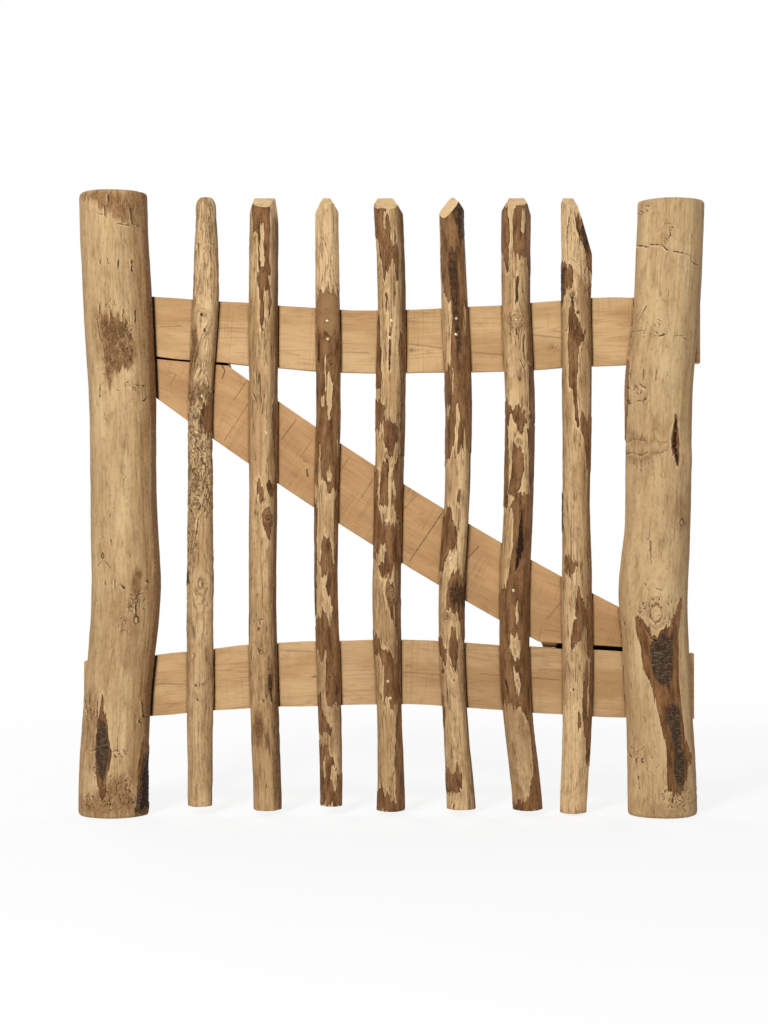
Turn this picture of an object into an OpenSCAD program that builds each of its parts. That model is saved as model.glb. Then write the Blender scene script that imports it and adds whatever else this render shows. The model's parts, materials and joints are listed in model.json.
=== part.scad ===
// Garden gate leaf of chestnut: two thick half-round poles and seven cleft pales
// stand in front of two swept rails and a curved brace between them.
// X runs along the gate, seen from the front; the front faces -Y; Z is up.
// The origin is in the middle of the sawn foot of the hanging pole.

/* [Poles] */
// Distance between the axes of the two poles
pole_spacing = 889; // [600:1:1500]
// Width of a pole
pole_w = 113; // [80:1:140]
// Depth of a pole from its flat back to its round front
pole_depth = 57; // [40:1:80]
// Length of the pole on the closing side
closing_pole_len = 1016; // [950:1:1300]
// Length of the pole on the hinge side
hanging_pole_len = 1003; // [950:1:1300]
// Rounding of the sawn ends of a pole
pole_end_round = 7; // [2:0.5:12]
// How far the sawn back of a pole is narrower on each side than the pole
pole_arris = 5; // [0:0.5:10]
// Distance from the origin back to the face on which poles, pales and rails meet
seat_y = 24; // [10:1:35]

/* [Pales] */
// Distance from a pole's axis to the nearest pale
pale_margin = 135; // [100:1:180]
// Height of the pales' heads over the feet of the poles
pale_head_z = 1010; // [950:1:1250]
// Height of the pales' feet over the feet of the poles
pale_foot_z = 9; // [0:1:60]
// Nominal width of a pale
pale_w = 46; // [30:1:60]
// Nominal depth of a pale from its flat back to its round front
pale_depth = 24; // [15:1:35]
// Rounding of the foot of a pale
pale_end_round = 2; // [0.5:0.5:4]
// How far the back of a pale is narrower on each side than the pale
pale_arris = 1.5; // [0:0.5:4]

/* [Rails] */
// Thickness of the rails and the brace
rail_t = 25; // [18:1:40]
// Nominal width of a rail
rail_w = 105; // [70:1:130]
// How far a rail runs past the axis of each pole
rail_past_axis = 56; // [40:1:90]
// How far the top rail is set towards the hinge side
top_rail_shift = 10; // [0:1:20]
// Height of the top rail's middle line where it is highest
top_rail_z = 808; // [700:1:850]
// How far the top rail dips towards the middle
top_rail_dip = 34; // [0:1:45]
// Height of the bottom rail's middle line where it is lowest
bottom_rail_z = 200; // [150:1:300]
// How far the bottom rail rises towards the middle
bottom_rail_rise = 32; // [0:1:45]

/* [Brace] */
// Width of the brace square to its length
brace_w = 112; // [80:1:130]
// How far the brace sags below a straight line between the poles' axes
brace_bow = 31; // [0:1:45]
// Drop of the brace's middle line below the top rail's height at the closing pole
brace_head_drop = 9; // [0:1:30]
// Rise of the brace's middle line above the bottom rail's height at the hanging pole
brace_foot_rise = 43; // [30:1:80]
// How far the brace runs past the axis of each pole
brace_past_axis = 20; // [10:1:40]
// Gap between the back of the brace and the rails that it is fitted between
brace_gap = 0.5; // [0.3:0.1:3]
// Wider gap at the toe of the brace, over the bottom rail
brace_toe_gap = 6; // [1:0.5:12]
// Angle of the end cuts of the brace, which stand open at the front, in degrees
brace_end_bevel = 11; // [0:1:20]

/* [Hidden] */

POLE_WOOD = "#c4a06c";
PALE_WOOD = "#b98f5c";
SAWN_WOOD = "#c99f6b";

// Sides of a log round its front, rings along it, and steps along a rail
POLE_SIDES = 24;
POLE_RINGS = 36;
PALE_SIDES = 14;
PALE_RINGS = 30;
RAIL_STEPS = 28;

// How each piece grew, at seven even stations from foot to head or from left to right.
// Sway is how far its middle stands aside, and girth how wide it is there,
// both in percent of its nominal width
CLOSING_SWAY = [-6, -1, 11, 9, 7, 0, -6];
CLOSING_GIRTH = [102, 98, 101, 97, 98, 100, 101];
HANGING_SWAY = [3, -2, -9, -4, -2, 9, 15];
HANGING_GIRTH = [101, 98, 98, 95, 97, 98, 99];
PALE_SWAY = [
    [-2, -2, -2, -2, 0, 18, 18],
    [17, 7, 0, 2, 2, 2, 7],
    [18, 11, 0, 0, 7, 4, 0],
    [9, 2, -7, -2, 7, 12, -2],
    [31, 9, -4, 16, 20, 7, -4],
    [47, 7, -2, 13, 18, 4, 4],
    [-16, -2, -4, -5, -4, -6, -7]
];
PALE_GIRTH = [
    [95, 102, 102, 95, 94, 102, 74],
    [110, 108, 104, 106, 111, 113, 105],
    [82, 85, 86, 92, 89, 91, 86],
    [104, 91, 107, 108, 109, 104, 109],
    [107, 93, 99, 94, 98, 99, 94],
    [106, 112, 109, 106, 109, 109, 109],
    [99, 109, 109, 100, 113, 107, 110]
];
// How much lower the foot of each pale is than their common height, in percent of a pale's width
PALE_FOOT_DROP = [-11, 2, -11, 6, 0, 2, 13];
// Share of the nominal depth to which each pale was cleft
PALE_STOUT = [0.95, 1.05, 0.9, 1, 1, 1.08, 1];
// Flat left by cleaving: the direction that it faces, in degrees round the front from +X,
// and its distance from the pale's middle as a share of half the pale's width
PALE_CLEFT = [[150, 0.86], [28, 0.88], [142, 0.84], [35, 0.86], [152, 0.9], [30, 0.92], [45, 0.9]];
// Cuts that point a pale, in percent of its nominal width: inset at the head and drop
// down the side, left then right; then the slope of the cut that faces the front and
// how far it leans to the left, in degrees
PALE_POINT = [
    [22, 37, 21, 38, 26, 0],
    [15, 51, 17, 55, 39, 0],
    [33, 65, 30, 50, 40, 0],
    [17, 30, 36, 50, 40, 0],
    [40, 56, 38, 45, 40, 30],
    [30, 53, 26, 67, 30, 0],
    [10, 22, 65, 196, 36, 0]
];
// Knots: height in percent of the length, direction round the front in degrees,
// rise in percent of the width and reach along the log in percent of the length
CLOSING_KNOTS = [
    [39, 10, 3, 5.5], [33.5, 62, 3.5, 2.5], [45, 140, 2.5, 2], [11, 118, -4.5, 6], [78, 105, 2, 4]
];
HANGING_KNOTS = [
    [33, 85, 4.5, 3.5], [37, 170, 5.5, 6], [58, 35, 2.5, 2.5], [23, 60, -3.5, 7], [71.5, 165, 3.5, 5]
];
PALE_KNOTS = [
    [[81, 95, 3, 1], [56, 60, 3, 2]],
    [[48, 100, 3, 2], [20, 70, 4, 2]],
    [[86, 60, 3, 3], [25, 110, 3, 2]],
    [[59, 85, 6, 1.5], [32, 70, 6, 1.5]],
    [[35, 105, 7, 2], [43, 60, 3, 3]],
    [[80, 95, 4, 1.5], [56, 100, 4, 1.5], [69, 20, 5, 1]],
    [[90, 20, 6, 4], [83, 95, 5, 2]]
];
// Sweep is how far a rail bends from its nominal height, in percent of its dip or rise,
// and girth how wide it is, in percent of the nominal width of a rail
TOP_RAIL_SWEEP = [0, 39, 80, 98, 80, 52, 43];
TOP_RAIL_GIRTH = [91, 95, 98, 98, 103, 106, 102];
BOTTOM_RAIL_SWEEP = [0, 48, 86, 99, 76, 41, 30];
BOTTOM_RAIL_GIRTH = [93, 95, 100, 100, 101, 104, 103];

KNOT_SPREAD = 20;      // degrees that a knot reaches round a log
POLE_LUMP = 0.012;     // how lumpy a pole is, as a share of its radius
PALE_LUMP = 0.03;      // how lumpy a pale is, as a share of its radius
RAIL_WANE = 0.008;     // how uneven a sawn edge is, as a share of the rail's width
CUT_BLOCK = 4 * pale_w;  // side of the block that makes a cut through the head of a pale

// Value at share s of a row of stations, on a smooth curve through all of them
function smooth_step(a, b, c, d, t) =
    0.5 * (2 * b + (c - a) * t + (2 * a - 5 * b + 4 * c - d) * t * t + (3 * b - a - 3 * c + d) * t * t * t);
function along(row, s) =
    let (last = len(row) - 1, i = max(0, min(floor(s * last), last - 1)))
    smooth_step(row[max(i - 1, 0)], row[i], row[i + 1], row[min(i + 2, last)], s * last - i);

// Radius of a half-round log in direction a, before its flats and knots
function half_round(half_w, depth, a) = 1 / sqrt(pow(cos(a) / half_w, 2) + pow(sin(a) / depth, 2));
// Slow ripple of a grown surface at share s of the length, different for each seed
function ripple(a, s, seed) = sin(2 * a + 550 * s + 67 * seed) + 0.7 * sin(5 * a - 900 * s + 41 * seed)
    + 0.5 * sin(3 * a + 2100 * s + 113 * seed);
// Rise of all knots at share s and direction a, as a share of the width
function knot_rise(knots, s, a, i = 0) = i == len(knots) ? 0 :
    knots[i][2] / 100
    * exp(-pow((100 * s - knots[i][0]) / knots[i][3], 2) - pow((a - knots[i][1]) / KNOT_SPREAD, 2))
    + knot_rise(knots, s, a, i + 1);
// Distance to the cleft flat in direction a, far away where the flat faces elsewhere
function flat_limit(cleft, half_w, a) =
    let (facing = cos(a - cleft[0]))
    facing < 0.2 ? 10 * half_w : cleft[1] * half_w / facing;

// Heights of the rings of a log: the rounding of both ends and even steps between
function ring_heights(length, end_round, rings) =
    [0, for (i = [0 : rings]) end_round + (length - 2 * end_round) * i / rings, length];

// A log with a flat back on Y = 0, standing on Z = 0, lofted through its rings
module log_solid(length, width, depth, sway, girth, end_round, arris, cleft, knots, lump, seed,
                 sides, rings) {
    heights = ring_heights(length, end_round, rings);
    per_ring = sides + 1;
    points = [
        for (z = heights)
        let (
            s = z / length,
            half_w = width / 2 * along(girth, s) / 100,
            local_depth = depth * (along(girth, s) + 100) / 200,
            end_inset = max(0, end_round - min(z, length - z)) / 2
        )
        for (k = [0 : sides])
        let (
            a = 180 * k / sides,
            grown = half_round(half_w, local_depth, a) * (1 + lump * ripple(a, s, seed))
                + width * knot_rise(knots, s, a),
            r = min(grown, flat_limit(cleft, half_w, a)) - end_inset - (k % sides == 0 ? arris : 0)
        )
        [width * along(sway, s) / 100 + r * cos(a), -r * sin(a), z]
    ];
    faces = [
        [for (k = [sides : -1 : 0]) k],
        for (j = [0 : len(heights) - 2], k = [0 : sides])
        let (next = (k + 1) % per_ring)
        [j * per_ring + k, j * per_ring + next, (j + 1) * per_ring + next, (j + 1) * per_ring + k],
        [for (k = [0 : sides]) (len(heights) - 1) * per_ring + k]
    ];
    polyhedron(points, faces, convexity = 4);
}

// A sloped cut down one side of a head: side is -1 for left and 1 for right
module side_cut(edge_x, head_z, inset, drop, side)
    translate([edge_x - side * inset, 0, head_z])
        rotate([0, side * atan(drop / inset), 0])
            translate([side > 0 ? -CUT_BLOCK / 4 : -3 * CUT_BLOCK / 4, -CUT_BLOCK / 2, 0])
                cube(CUT_BLOCK);

// The cut over a head that slopes down to the front, and leans to the left where it does
module front_cut(peak_x, head_z, slope, lean)
    translate([peak_x, 0, head_z])
        rotate([slope, -lean, 0])
            translate([-CUT_BLOCK / 2, -CUT_BLOCK, 0])
                cube([CUT_BLOCK, 2 * CUT_BLOCK, CUT_BLOCK]);

// Place of pale i along the gate
PALE_PITCH = (pole_spacing - 2 * pale_margin) / (len(PALE_SWAY) - 1);
function pale_x(i) = -pole_spacing + pale_margin + i * PALE_PITCH;

module pole(x, length, sway, girth, knots, seed)
    color(POLE_WOOD)
        translate([x, seat_y, 0])
            log_solid(length, pole_w, pole_depth, sway, girth, pole_end_round, pole_arris, [90, 4], knots,
                      POLE_LUMP, seed, POLE_SIDES, POLE_RINGS);

module closing_pole() pole(-pole_spacing, closing_pole_len, CLOSING_SWAY, CLOSING_GIRTH, CLOSING_KNOTS, 1);
module hanging_pole() pole(0, hanging_pole_len, HANGING_SWAY, HANGING_GIRTH, HANGING_KNOTS, 2);

module pale(i) {
    foot_z = pale_foot_z - pale_w * PALE_FOOT_DROP[i] / 100;
    length = pale_head_z - foot_z;
    head_x = pale_w * PALE_SWAY[i][len(PALE_SWAY[i]) - 1] / 100;
    half_head = pale_w / 2 * PALE_GIRTH[i][len(PALE_GIRTH[i]) - 1] / 100;
    cuts = PALE_POINT[i];
    color(PALE_WOOD)
        translate([pale_x(i), seat_y, foot_z])
            difference() {
                log_solid(length, pale_w, pale_depth * PALE_STOUT[i], PALE_SWAY[i], PALE_GIRTH[i],
                          pale_end_round, pale_arris, PALE_CLEFT[i], PALE_KNOTS[i], PALE_LUMP, i + 3,
                          PALE_SIDES, PALE_RINGS);
                side_cut(head_x - half_head, length, pale_w * cuts[0] / 100, pale_w * cuts[1] / 100, -1);
                side_cut(head_x + half_head, length, pale_w * cuts[2] / 100, pale_w * cuts[3] / 100, 1);
                front_cut(head_x + half_head - pale_w * cuts[2] / 100, length, cuts[4], cuts[5]);
            }
}

// Places along a rail at share s of its length, and its edges: side is 1 for upper and -1 for lower
function rail_x(s, shift) = -pole_spacing - rail_past_axis + shift + s * (pole_spacing + 2 * rail_past_axis);
function rail_share(x, shift) = (x - rail_x(0, shift)) / (rail_x(1, shift) - rail_x(0, shift));
function half_width(girth, s, side) =
    rail_w * (along(girth, s) / 200 + RAIL_WANE * (sin(1300 * s + 90 * side) + 0.6 * sin(3100 * s)));
function top_rail_edge(s, side) =
    top_rail_z - top_rail_dip * along(TOP_RAIL_SWEEP, s) / 100 + side * half_width(TOP_RAIL_GIRTH, s, side);
function bottom_rail_edge(s, side) =
    bottom_rail_z + bottom_rail_rise * along(BOTTOM_RAIL_SWEEP, s) / 100
    + side * half_width(BOTTOM_RAIL_GIRTH, s, side);
STEPS = [for (i = [0 : RAIL_STEPS]) i / RAIL_STEPS];
STEPS_BACK = [for (i = [RAIL_STEPS : -1 : 0]) i / RAIL_STEPS];

// A board sawn to an outline drawn on the XZ plane, with its front on the seat
module board()
    translate([0, seat_y + rail_t, 0])
        rotate([90, 0, 0])
            linear_extrude(height = rail_t) children();

module top_rail() color(SAWN_WOOD) board() polygon([
    for (s = STEPS) [rail_x(s, top_rail_shift), top_rail_edge(s, -1)],
    for (s = STEPS_BACK) [rail_x(s, top_rail_shift), top_rail_edge(s, 1)]
]);

module bottom_rail() color(SAWN_WOOD) board() polygon([
    for (s = STEPS) [rail_x(s, 0), bottom_rail_edge(s, -1)],
    for (s = STEPS_BACK) [rail_x(s, 0), bottom_rail_edge(s, 1)]
]);

// Middle line and slope of the brace at share s of the way between the poles' axes
BRACE_HEAD_Z = top_rail_z - brace_head_drop;
BRACE_FALL = BRACE_HEAD_Z - bottom_rail_z - brace_foot_rise;
function brace_x(s) = -pole_spacing + s * pole_spacing;
function brace_z(s) = BRACE_HEAD_Z - s * BRACE_FALL - 4 * brace_bow * s * (1 - s);
function brace_slope(s) = -atan((BRACE_FALL + 4 * brace_bow * (1 - 2 * s)) / pole_spacing);
function brace_edge(s, side) = [
    brace_x(s) - side * brace_w / 2 * sin(brace_slope(s)),
    brace_z(s) + side * brace_w / 2 * cos(brace_slope(s))
];
// The strip runs on past both poles before it is cut to length
RUN_ON = 3;
BRACE_STEPS = [for (i = [-RUN_ON : RAIL_STEPS + RUN_ON]) i / RAIL_STEPS];
BRACE_STEPS_BACK = [for (i = [RAIL_STEPS + RUN_ON : -1 : -RUN_ON]) i / RAIL_STEPS];

// A saw cut along the line from a to b on the back of the brace, open towards the front:
// side is 1 where it takes off what is above the line and -1 where it takes off what is below
module end_bevel(a, b, side)
    translate([a[0], seat_y + rail_t, a[1]])
        rotate([0, -atan2(b[1] - a[1], b[0] - a[0]), 0])
            rotate([side * brace_end_bevel, 0, 0])
                translate([0, -2 * rail_t, side > 0 ? 0 : -brace_w])
                    cube([norm(b - a), 3 * rail_t, brace_w]);

// Points on the back of the brace where it meets the rails
function under_top_rail(x, gap) = [x, top_rail_edge(rail_share(x, top_rail_shift), -1) - gap];
function over_bottom_rail(x, gap) = [x, bottom_rail_edge(rail_share(x, 0), 1) + gap];
BRACE_HEAD_X = -pole_spacing - brace_past_axis;
BRACE_FOOT_X = brace_past_axis;
BRACE_CUT = 2.6 * brace_w;  // length of each end cut along its rail
HEAD_CUT = [
    under_top_rail(BRACE_HEAD_X, brace_gap),
    under_top_rail(BRACE_HEAD_X + BRACE_CUT, brace_gap)
];
FOOT_CUT = [
    over_bottom_rail(BRACE_FOOT_X - BRACE_CUT, brace_toe_gap),
    over_bottom_rail(BRACE_FOOT_X, brace_gap)
];

module brace() color(SAWN_WOOD) difference() {
    board() intersection() {
        polygon([for (s = BRACE_STEPS) brace_edge(s, -1), for (s = BRACE_STEPS_BACK) brace_edge(s, 1)]);
        polygon([
            for (s = STEPS) over_bottom_rail(rail_x(s, 0), brace_gap),
            for (s = STEPS_BACK) under_top_rail(rail_x(s, top_rail_shift), brace_gap)
        ]);
        translate([BRACE_HEAD_X, 0])
            square([BRACE_FOOT_X - BRACE_HEAD_X, top_rail_z]);
    }
    end_bevel(HEAD_CUT[0], HEAD_CUT[1], 1);
    end_bevel(FOOT_CUT[0], FOOT_CUT[1], -1);
}

closing_pole();
hanging_pole();
for (i = [0 : len(PALE_SWAY) - 1])
    pale(i);
top_rail();
bottom_rail();
brace();
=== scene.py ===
"""Looks of a wooden garden gate leaf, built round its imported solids.

Two peeled half-round poles and seven cleft pales stand in front of two swept
rails and a curved brace. Each log is a fine skin wrapped round its solid, with
its bark, knots, cracks and nicks worked into the mesh; each board is a fine
skin with worn edges and saw marks. All sizes in the tables are millimetres in
the gate's own frame, and the meshes are in metres.
"""

import json
import logging
import math
from contextlib import contextmanager
from dataclasses import dataclass, field
from enum import Enum
from itertools import product
from typing import Callable, Iterator, Sequence

import bmesh
import bpy
import numpy as np
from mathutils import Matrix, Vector
from mathutils.bvhtree import BVHTree

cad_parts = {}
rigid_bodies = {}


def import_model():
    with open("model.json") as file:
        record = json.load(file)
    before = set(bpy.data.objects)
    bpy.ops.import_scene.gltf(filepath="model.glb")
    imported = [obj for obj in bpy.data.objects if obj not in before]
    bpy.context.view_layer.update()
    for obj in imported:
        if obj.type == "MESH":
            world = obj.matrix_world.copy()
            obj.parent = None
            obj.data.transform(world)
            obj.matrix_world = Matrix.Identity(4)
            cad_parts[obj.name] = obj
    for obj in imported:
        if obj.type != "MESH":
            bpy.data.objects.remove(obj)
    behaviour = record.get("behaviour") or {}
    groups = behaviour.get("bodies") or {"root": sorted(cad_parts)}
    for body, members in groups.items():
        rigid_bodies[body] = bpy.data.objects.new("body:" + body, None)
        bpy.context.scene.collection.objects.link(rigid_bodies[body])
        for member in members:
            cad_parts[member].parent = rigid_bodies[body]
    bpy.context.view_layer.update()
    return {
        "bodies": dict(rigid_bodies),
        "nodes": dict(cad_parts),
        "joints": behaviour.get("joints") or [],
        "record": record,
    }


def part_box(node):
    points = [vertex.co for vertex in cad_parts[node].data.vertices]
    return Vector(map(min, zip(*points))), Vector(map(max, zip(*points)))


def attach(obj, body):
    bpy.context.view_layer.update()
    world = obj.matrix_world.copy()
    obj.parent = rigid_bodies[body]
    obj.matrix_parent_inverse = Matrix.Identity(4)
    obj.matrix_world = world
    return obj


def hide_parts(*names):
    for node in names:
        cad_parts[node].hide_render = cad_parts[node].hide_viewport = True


LOG = logging.getLogger("garden_gate")
MM = 0.001
BODY = "root"
SEAT_Y = 24.0 * MM  # face on which logs and rails meet
BOARD_T = 25.0 * MM  # thickness of the rails and the brace
SIDE = 999.0  # a mark's edge that runs on round the side of its log
REACH = 8.0  # distance in mm up to which the edge of a mark or of a painted shadow line beside a log is followed
RAYS = 145  # rays round one ring when a log is measured
RAY_GAP = 4.0 * MM  # height between two such rings
ON_PLANE = 2e-5  # a face no farther than this from a cut's plane lies on it
LOG_SHARP, BOARD_SHARP = 42.0, 40.0  # angles in degrees past which an edge stays sharp
NICK_SEED = 500  # added to a log's seed for its scattered nicks

Colour = tuple[float, float, float]
Triple = tuple[float, float, float]
Row = tuple[float, ...]
Socket = bpy.types.NodeSocket


# ---- small helpers


def srgb(red: int, green: int, blue: int) -> Colour:
    """Turns a colour in 0 to 255 steps into linear values.

    Args:
        red: Red, 0 to 255.
        green: Green, 0 to 255.
        blue: Blue, 0 to 255.

    Returns:
        The linear colour.
    """

    def linear(step: int) -> float:
        """Linear value of one channel."""
        share = step / 255
        return share / 12.92 if share <= 0.04045 else ((share + 0.055) / 1.055) ** 2.4

    return linear(red), linear(green), linear(blue)


def smooth(value: np.ndarray, low: float, high: float) -> np.ndarray:
    """Smooth step from 0 at low to 1 at high."""
    t = np.clip((value - low) / (high - low), 0.0, 1.0)
    return t * t * (3 - 2 * t)


def soften(values: np.ndarray, sigma: float, axis: int, wrap: bool = False) -> np.ndarray:
    """Blurs an array along one axis.

    Args:
        values: The array.
        sigma: Width of the blur in steps of the array.
        axis: The axis to blur along.
        wrap: True where the array runs round a log and meets itself.

    Returns:
        The blurred array.
    """
    reach = max(1, int(3 * sigma))
    weights = np.exp(-0.5 * (np.arange(-reach, reach + 1) / sigma) ** 2)
    weights /= weights.sum()
    pad = [(0, 0)] * values.ndim
    pad[axis] = (reach, reach)
    padded = np.pad(values, pad, mode="wrap" if wrap else "edge")
    count = values.shape[axis]
    total = np.zeros_like(values)
    for step, weight in enumerate(weights):
        total += weight * np.take(padded, range(step, step + count), axis=axis)
    return total


def select_only(piece: bpy.types.Object) -> None:
    """Deselects everything, then selects one piece and makes it active."""
    bpy.ops.object.select_all(action="DESELECT")
    piece.select_set(True)
    bpy.context.view_layer.objects.active = piece


@contextmanager
def edit_mode(piece: bpy.types.Object) -> Iterator[None]:
    """Edits one piece, and goes back to object mode at the end."""
    select_only(piece)
    bpy.ops.object.mode_set(mode="EDIT")
    try:
        yield
    finally:
        bpy.ops.object.mode_set(mode="OBJECT")


def face_outward(piece: bpy.types.Object) -> None:
    """Turns the faces of a closed piece outward where they all look inward."""
    shape = bmesh.new()
    shape.from_mesh(piece.data)
    inward = shape.calc_volume(signed=True) < 0
    shape.free()
    if inward:
        with edit_mode(piece):
            bpy.ops.mesh.select_all(action="SELECT")
            bpy.ops.mesh.flip_normals()


def solid_tree(node: bpy.types.Object) -> BVHTree:
    """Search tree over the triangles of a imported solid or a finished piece."""
    mesh = node.data
    return BVHTree.FromPolygons([v.co for v in mesh.vertices], [p.vertices[:] for p in mesh.polygons])


def set_attribute(mesh: bpy.types.Mesh, name: str, values: np.ndarray) -> None:
    """Stores one value or one vector at each vertex of a mesh."""
    kind, key = ("FLOAT_VECTOR", "vector") if values.ndim == 2 else ("FLOAT", "value")
    layer = mesh.attributes.new(name, kind, "POINT")
    layer.data.foreach_set(key, np.ascontiguousarray(values, dtype=np.float32).ravel())


class SmoothNoise:
    """Seeded smooth noise on whole arrays, about -1 to 1."""

    def __init__(self, seed: int) -> None:
        """Deals out the slopes at the corners of the lattice."""
        dealer = np.random.default_rng(seed)
        self._order = dealer.permutation(256)
        slopes = dealer.normal(size=(256, 3))
        self._slopes = slopes / np.linalg.norm(slopes, axis=1, keepdims=True)

    def at(self, x: np.ndarray, y: np.ndarray, z: np.ndarray | float = 0.0) -> np.ndarray:
        """Noise at each point; one unit is the size of one lump."""
        x, y, z = np.broadcast_arrays(x, y, z)
        cell = [np.floor(c).astype(np.int64) for c in (x, y, z)]
        part = [c - f for c, f in zip((x, y, z), cell)]
        ease = [p * p * p * (p * (6 * p - 15) + 10) for p in part]
        total = np.zeros(x.shape)
        for corner in product((0, 1), repeat=3):
            key, weight, dot = 0, 1.0, 0.0
            for start, share, far in zip(cell, ease, corner):
                key = self._order[(key + start + far) & 255]
                weight = weight * (share if far else 1 - share)
            slope = self._slopes[key]
            for axis in range(3):
                dot = dot + slope[..., axis] * (part[axis] - corner[axis])
            total += weight * dot
        return 1.5 * total

    def layers(self, x: np.ndarray, y: np.ndarray, z: np.ndarray | float = 0.0, count: int = 3) -> np.ndarray:
        """Noise with finer layers on top, each half as strong."""
        total = np.zeros(np.broadcast(x, y, z).shape)
        for layer in range(count):
            scale = 2.0**layer
            total += self.at(x * scale + 7.3 * layer, y * scale + 3.1 * layer, np.asarray(z) * scale) / scale
        return total


# ---- materials


# BOARD_GAP darkens knot hearts, the painted shade in gaps between boards and the painted shadow beside the logs
DEEP_CRACK, BOARD_GAP = srgb(34, 22, 14), srgb(26, 17, 11)
LOG_LINE, BOARD_LINE = srgb(52, 34, 21), srgb(62, 41, 25)


class Nodes:
    """A node tree under construction."""

    def __init__(self, tree: bpy.types.NodeTree, output: str) -> None:
        """Empties the tree and gives it its output."""
        self.tree = tree
        self.tree.nodes.clear()
        self.surface = self.tree.nodes.new(output).inputs["Surface"]

    def feed(self, socket: Socket, value: object) -> None:
        """Links a socket to another one, or sets its own value."""
        if isinstance(value, Socket):
            self.tree.links.new(value, socket)
        elif isinstance(value, tuple) and len(value) == 3 and socket.type == "RGBA":
            socket.default_value = (*value, 1.0)
        else:
            socket.default_value = value

    def add(self, kind: str, inputs: dict[str | int, object], output: str | int = 0, **settings: object) -> Socket:
        """Adds one node.

        Args:
            kind: Type of the node.
            inputs: Value or socket for each input that is set.
            output: The output to hand over.
            **settings: Settings of the node itself.

        Returns:
            The output.
        """
        node = self.tree.nodes.new(kind)
        for name, setting in settings.items():
            setattr(node, name, setting)
        for name, value in inputs.items():
            self.feed(node.inputs[name], value)
        return node.outputs[output]

    def attribute(self, name: str, output: str = "Fac") -> Socket:
        """Reads a value stored in the mesh; output is Fac or Vector."""
        return self.add("ShaderNodeAttribute", {}, output, attribute_name=name)

    def stretched(self, vector: object, scale: Triple) -> Socket:
        """Scales coordinates."""
        return self.add("ShaderNodeMapping", {"Vector": vector, "Scale": scale})

    def length(self, vector: object) -> Socket:
        """Length of a vector."""
        return self.add("ShaderNodeVectorMath", {0: vector}, "Value", operation="LENGTH")

    def noise(self, vector: object, detail: float = 2.0, rough: float = 0.5, twist: float = 0.0) -> Socket:
        """Noise from 0 to 1."""
        inputs = {"Vector": vector, "Scale": 1.0, "Detail": detail, "Roughness": rough, "Distortion": twist}
        return self.add("ShaderNodeTexNoise", inputs)

    def fibres(self, scale: Triple, detail: float = 2.0, rough: float = 0.5, twist: float = 0.0) -> Socket:
        """Noise from 0 to 1 that follows the grain of the wood."""
        return self.noise(self.stretched(self.attribute("grain", "Vector"), scale), detail, rough, twist)

    def maths(self, kind: str, first: object, second: object = 0.0) -> Socket:
        """One step of arithmetic."""
        return self.add("ShaderNodeMath", {0: first, 1: second}, operation=kind)

    def times(self, first: object, second: object) -> Socket:
        """Product of two values."""
        return self.maths("MULTIPLY", first, second)

    def step(self, value: object, low: float, high: float, to_low: float = 0.0, to_high: float = 1.0,
             even: bool = False) -> Socket:
        """Moves a value from one range to another, smoothly unless even."""
        ranges = {"Value": value, "From Min": low, "From Max": high, "To Min": to_low, "To Max": to_high}
        way = "LINEAR" if even else "SMOOTHSTEP"
        return self.add("ShaderNodeMapRange", ranges, interpolation_type=way, clamp=True)

    def mixed(self, share: object, first: object, second: object) -> Socket:
        """Mixes two colours."""
        return self.add("ShaderNodeMix", {0: share, 6: first, 7: second}, 2, data_type="RGBA", clamp_factor=True)

    def over(self, colour: object, top: object, value: object, low: float, high: float, most: float = 1.0,
             even: bool = False) -> Socket:
        """Lays a colour over another one, none of it where value is low and most where it is high."""
        return self.mixed(self.step(value, low, high, 0.0, most, even), colour, top)

    def bumped(self, height: object, depth: float, before: object = None) -> Socket:
        """Tilts the surface by a height of 0 to 1 times depth in metres."""
        below = {} if before is None else {"Normal": before}
        return self.add("ShaderNodeBump", {"Strength": 1.0, "Distance": depth, "Height": height, **below})

    def plain_rays(self) -> Socket:
        """1 for rays that the camera sees straight, in a mirror or through glass."""
        rays = ("Is Camera Ray", "Is Glossy Ray", "Is Transmission Ray")
        seen, mirrored, through = (self.add("ShaderNodeLightPath", {}, ray) for ray in rays)
        return self.maths("MAXIMUM", self.maths("MAXIMUM", seen, mirrored), through)


class Sheet(Nodes):
    """One node material under construction."""

    def __init__(self, name: str) -> None:
        """Starts a material with its shader."""
        self.material = bpy.data.materials.new(name)
        self.material.use_nodes = True
        super().__init__(self.material.node_tree, "ShaderNodeOutputMaterial")
        self.shader = self.tree.nodes.new("ShaderNodeBsdfPrincipled")
        self.feed(self.surface, self.shader.outputs["BSDF"])

    def finish(
        self, colour: object, roughness: object, normal: object = None, specular: float = 0.35
    ) -> bpy.types.Material:
        """Feeds the shader and hands over the material."""
        self.feed(self.shader.inputs["Base Color"], colour)
        self.feed(self.shader.inputs["Roughness"], roughness)
        self.shader.inputs["Specular IOR Level"].default_value = specular
        if normal is not None:
            self.feed(self.shader.inputs["Normal"], normal)
        return self.material


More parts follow.
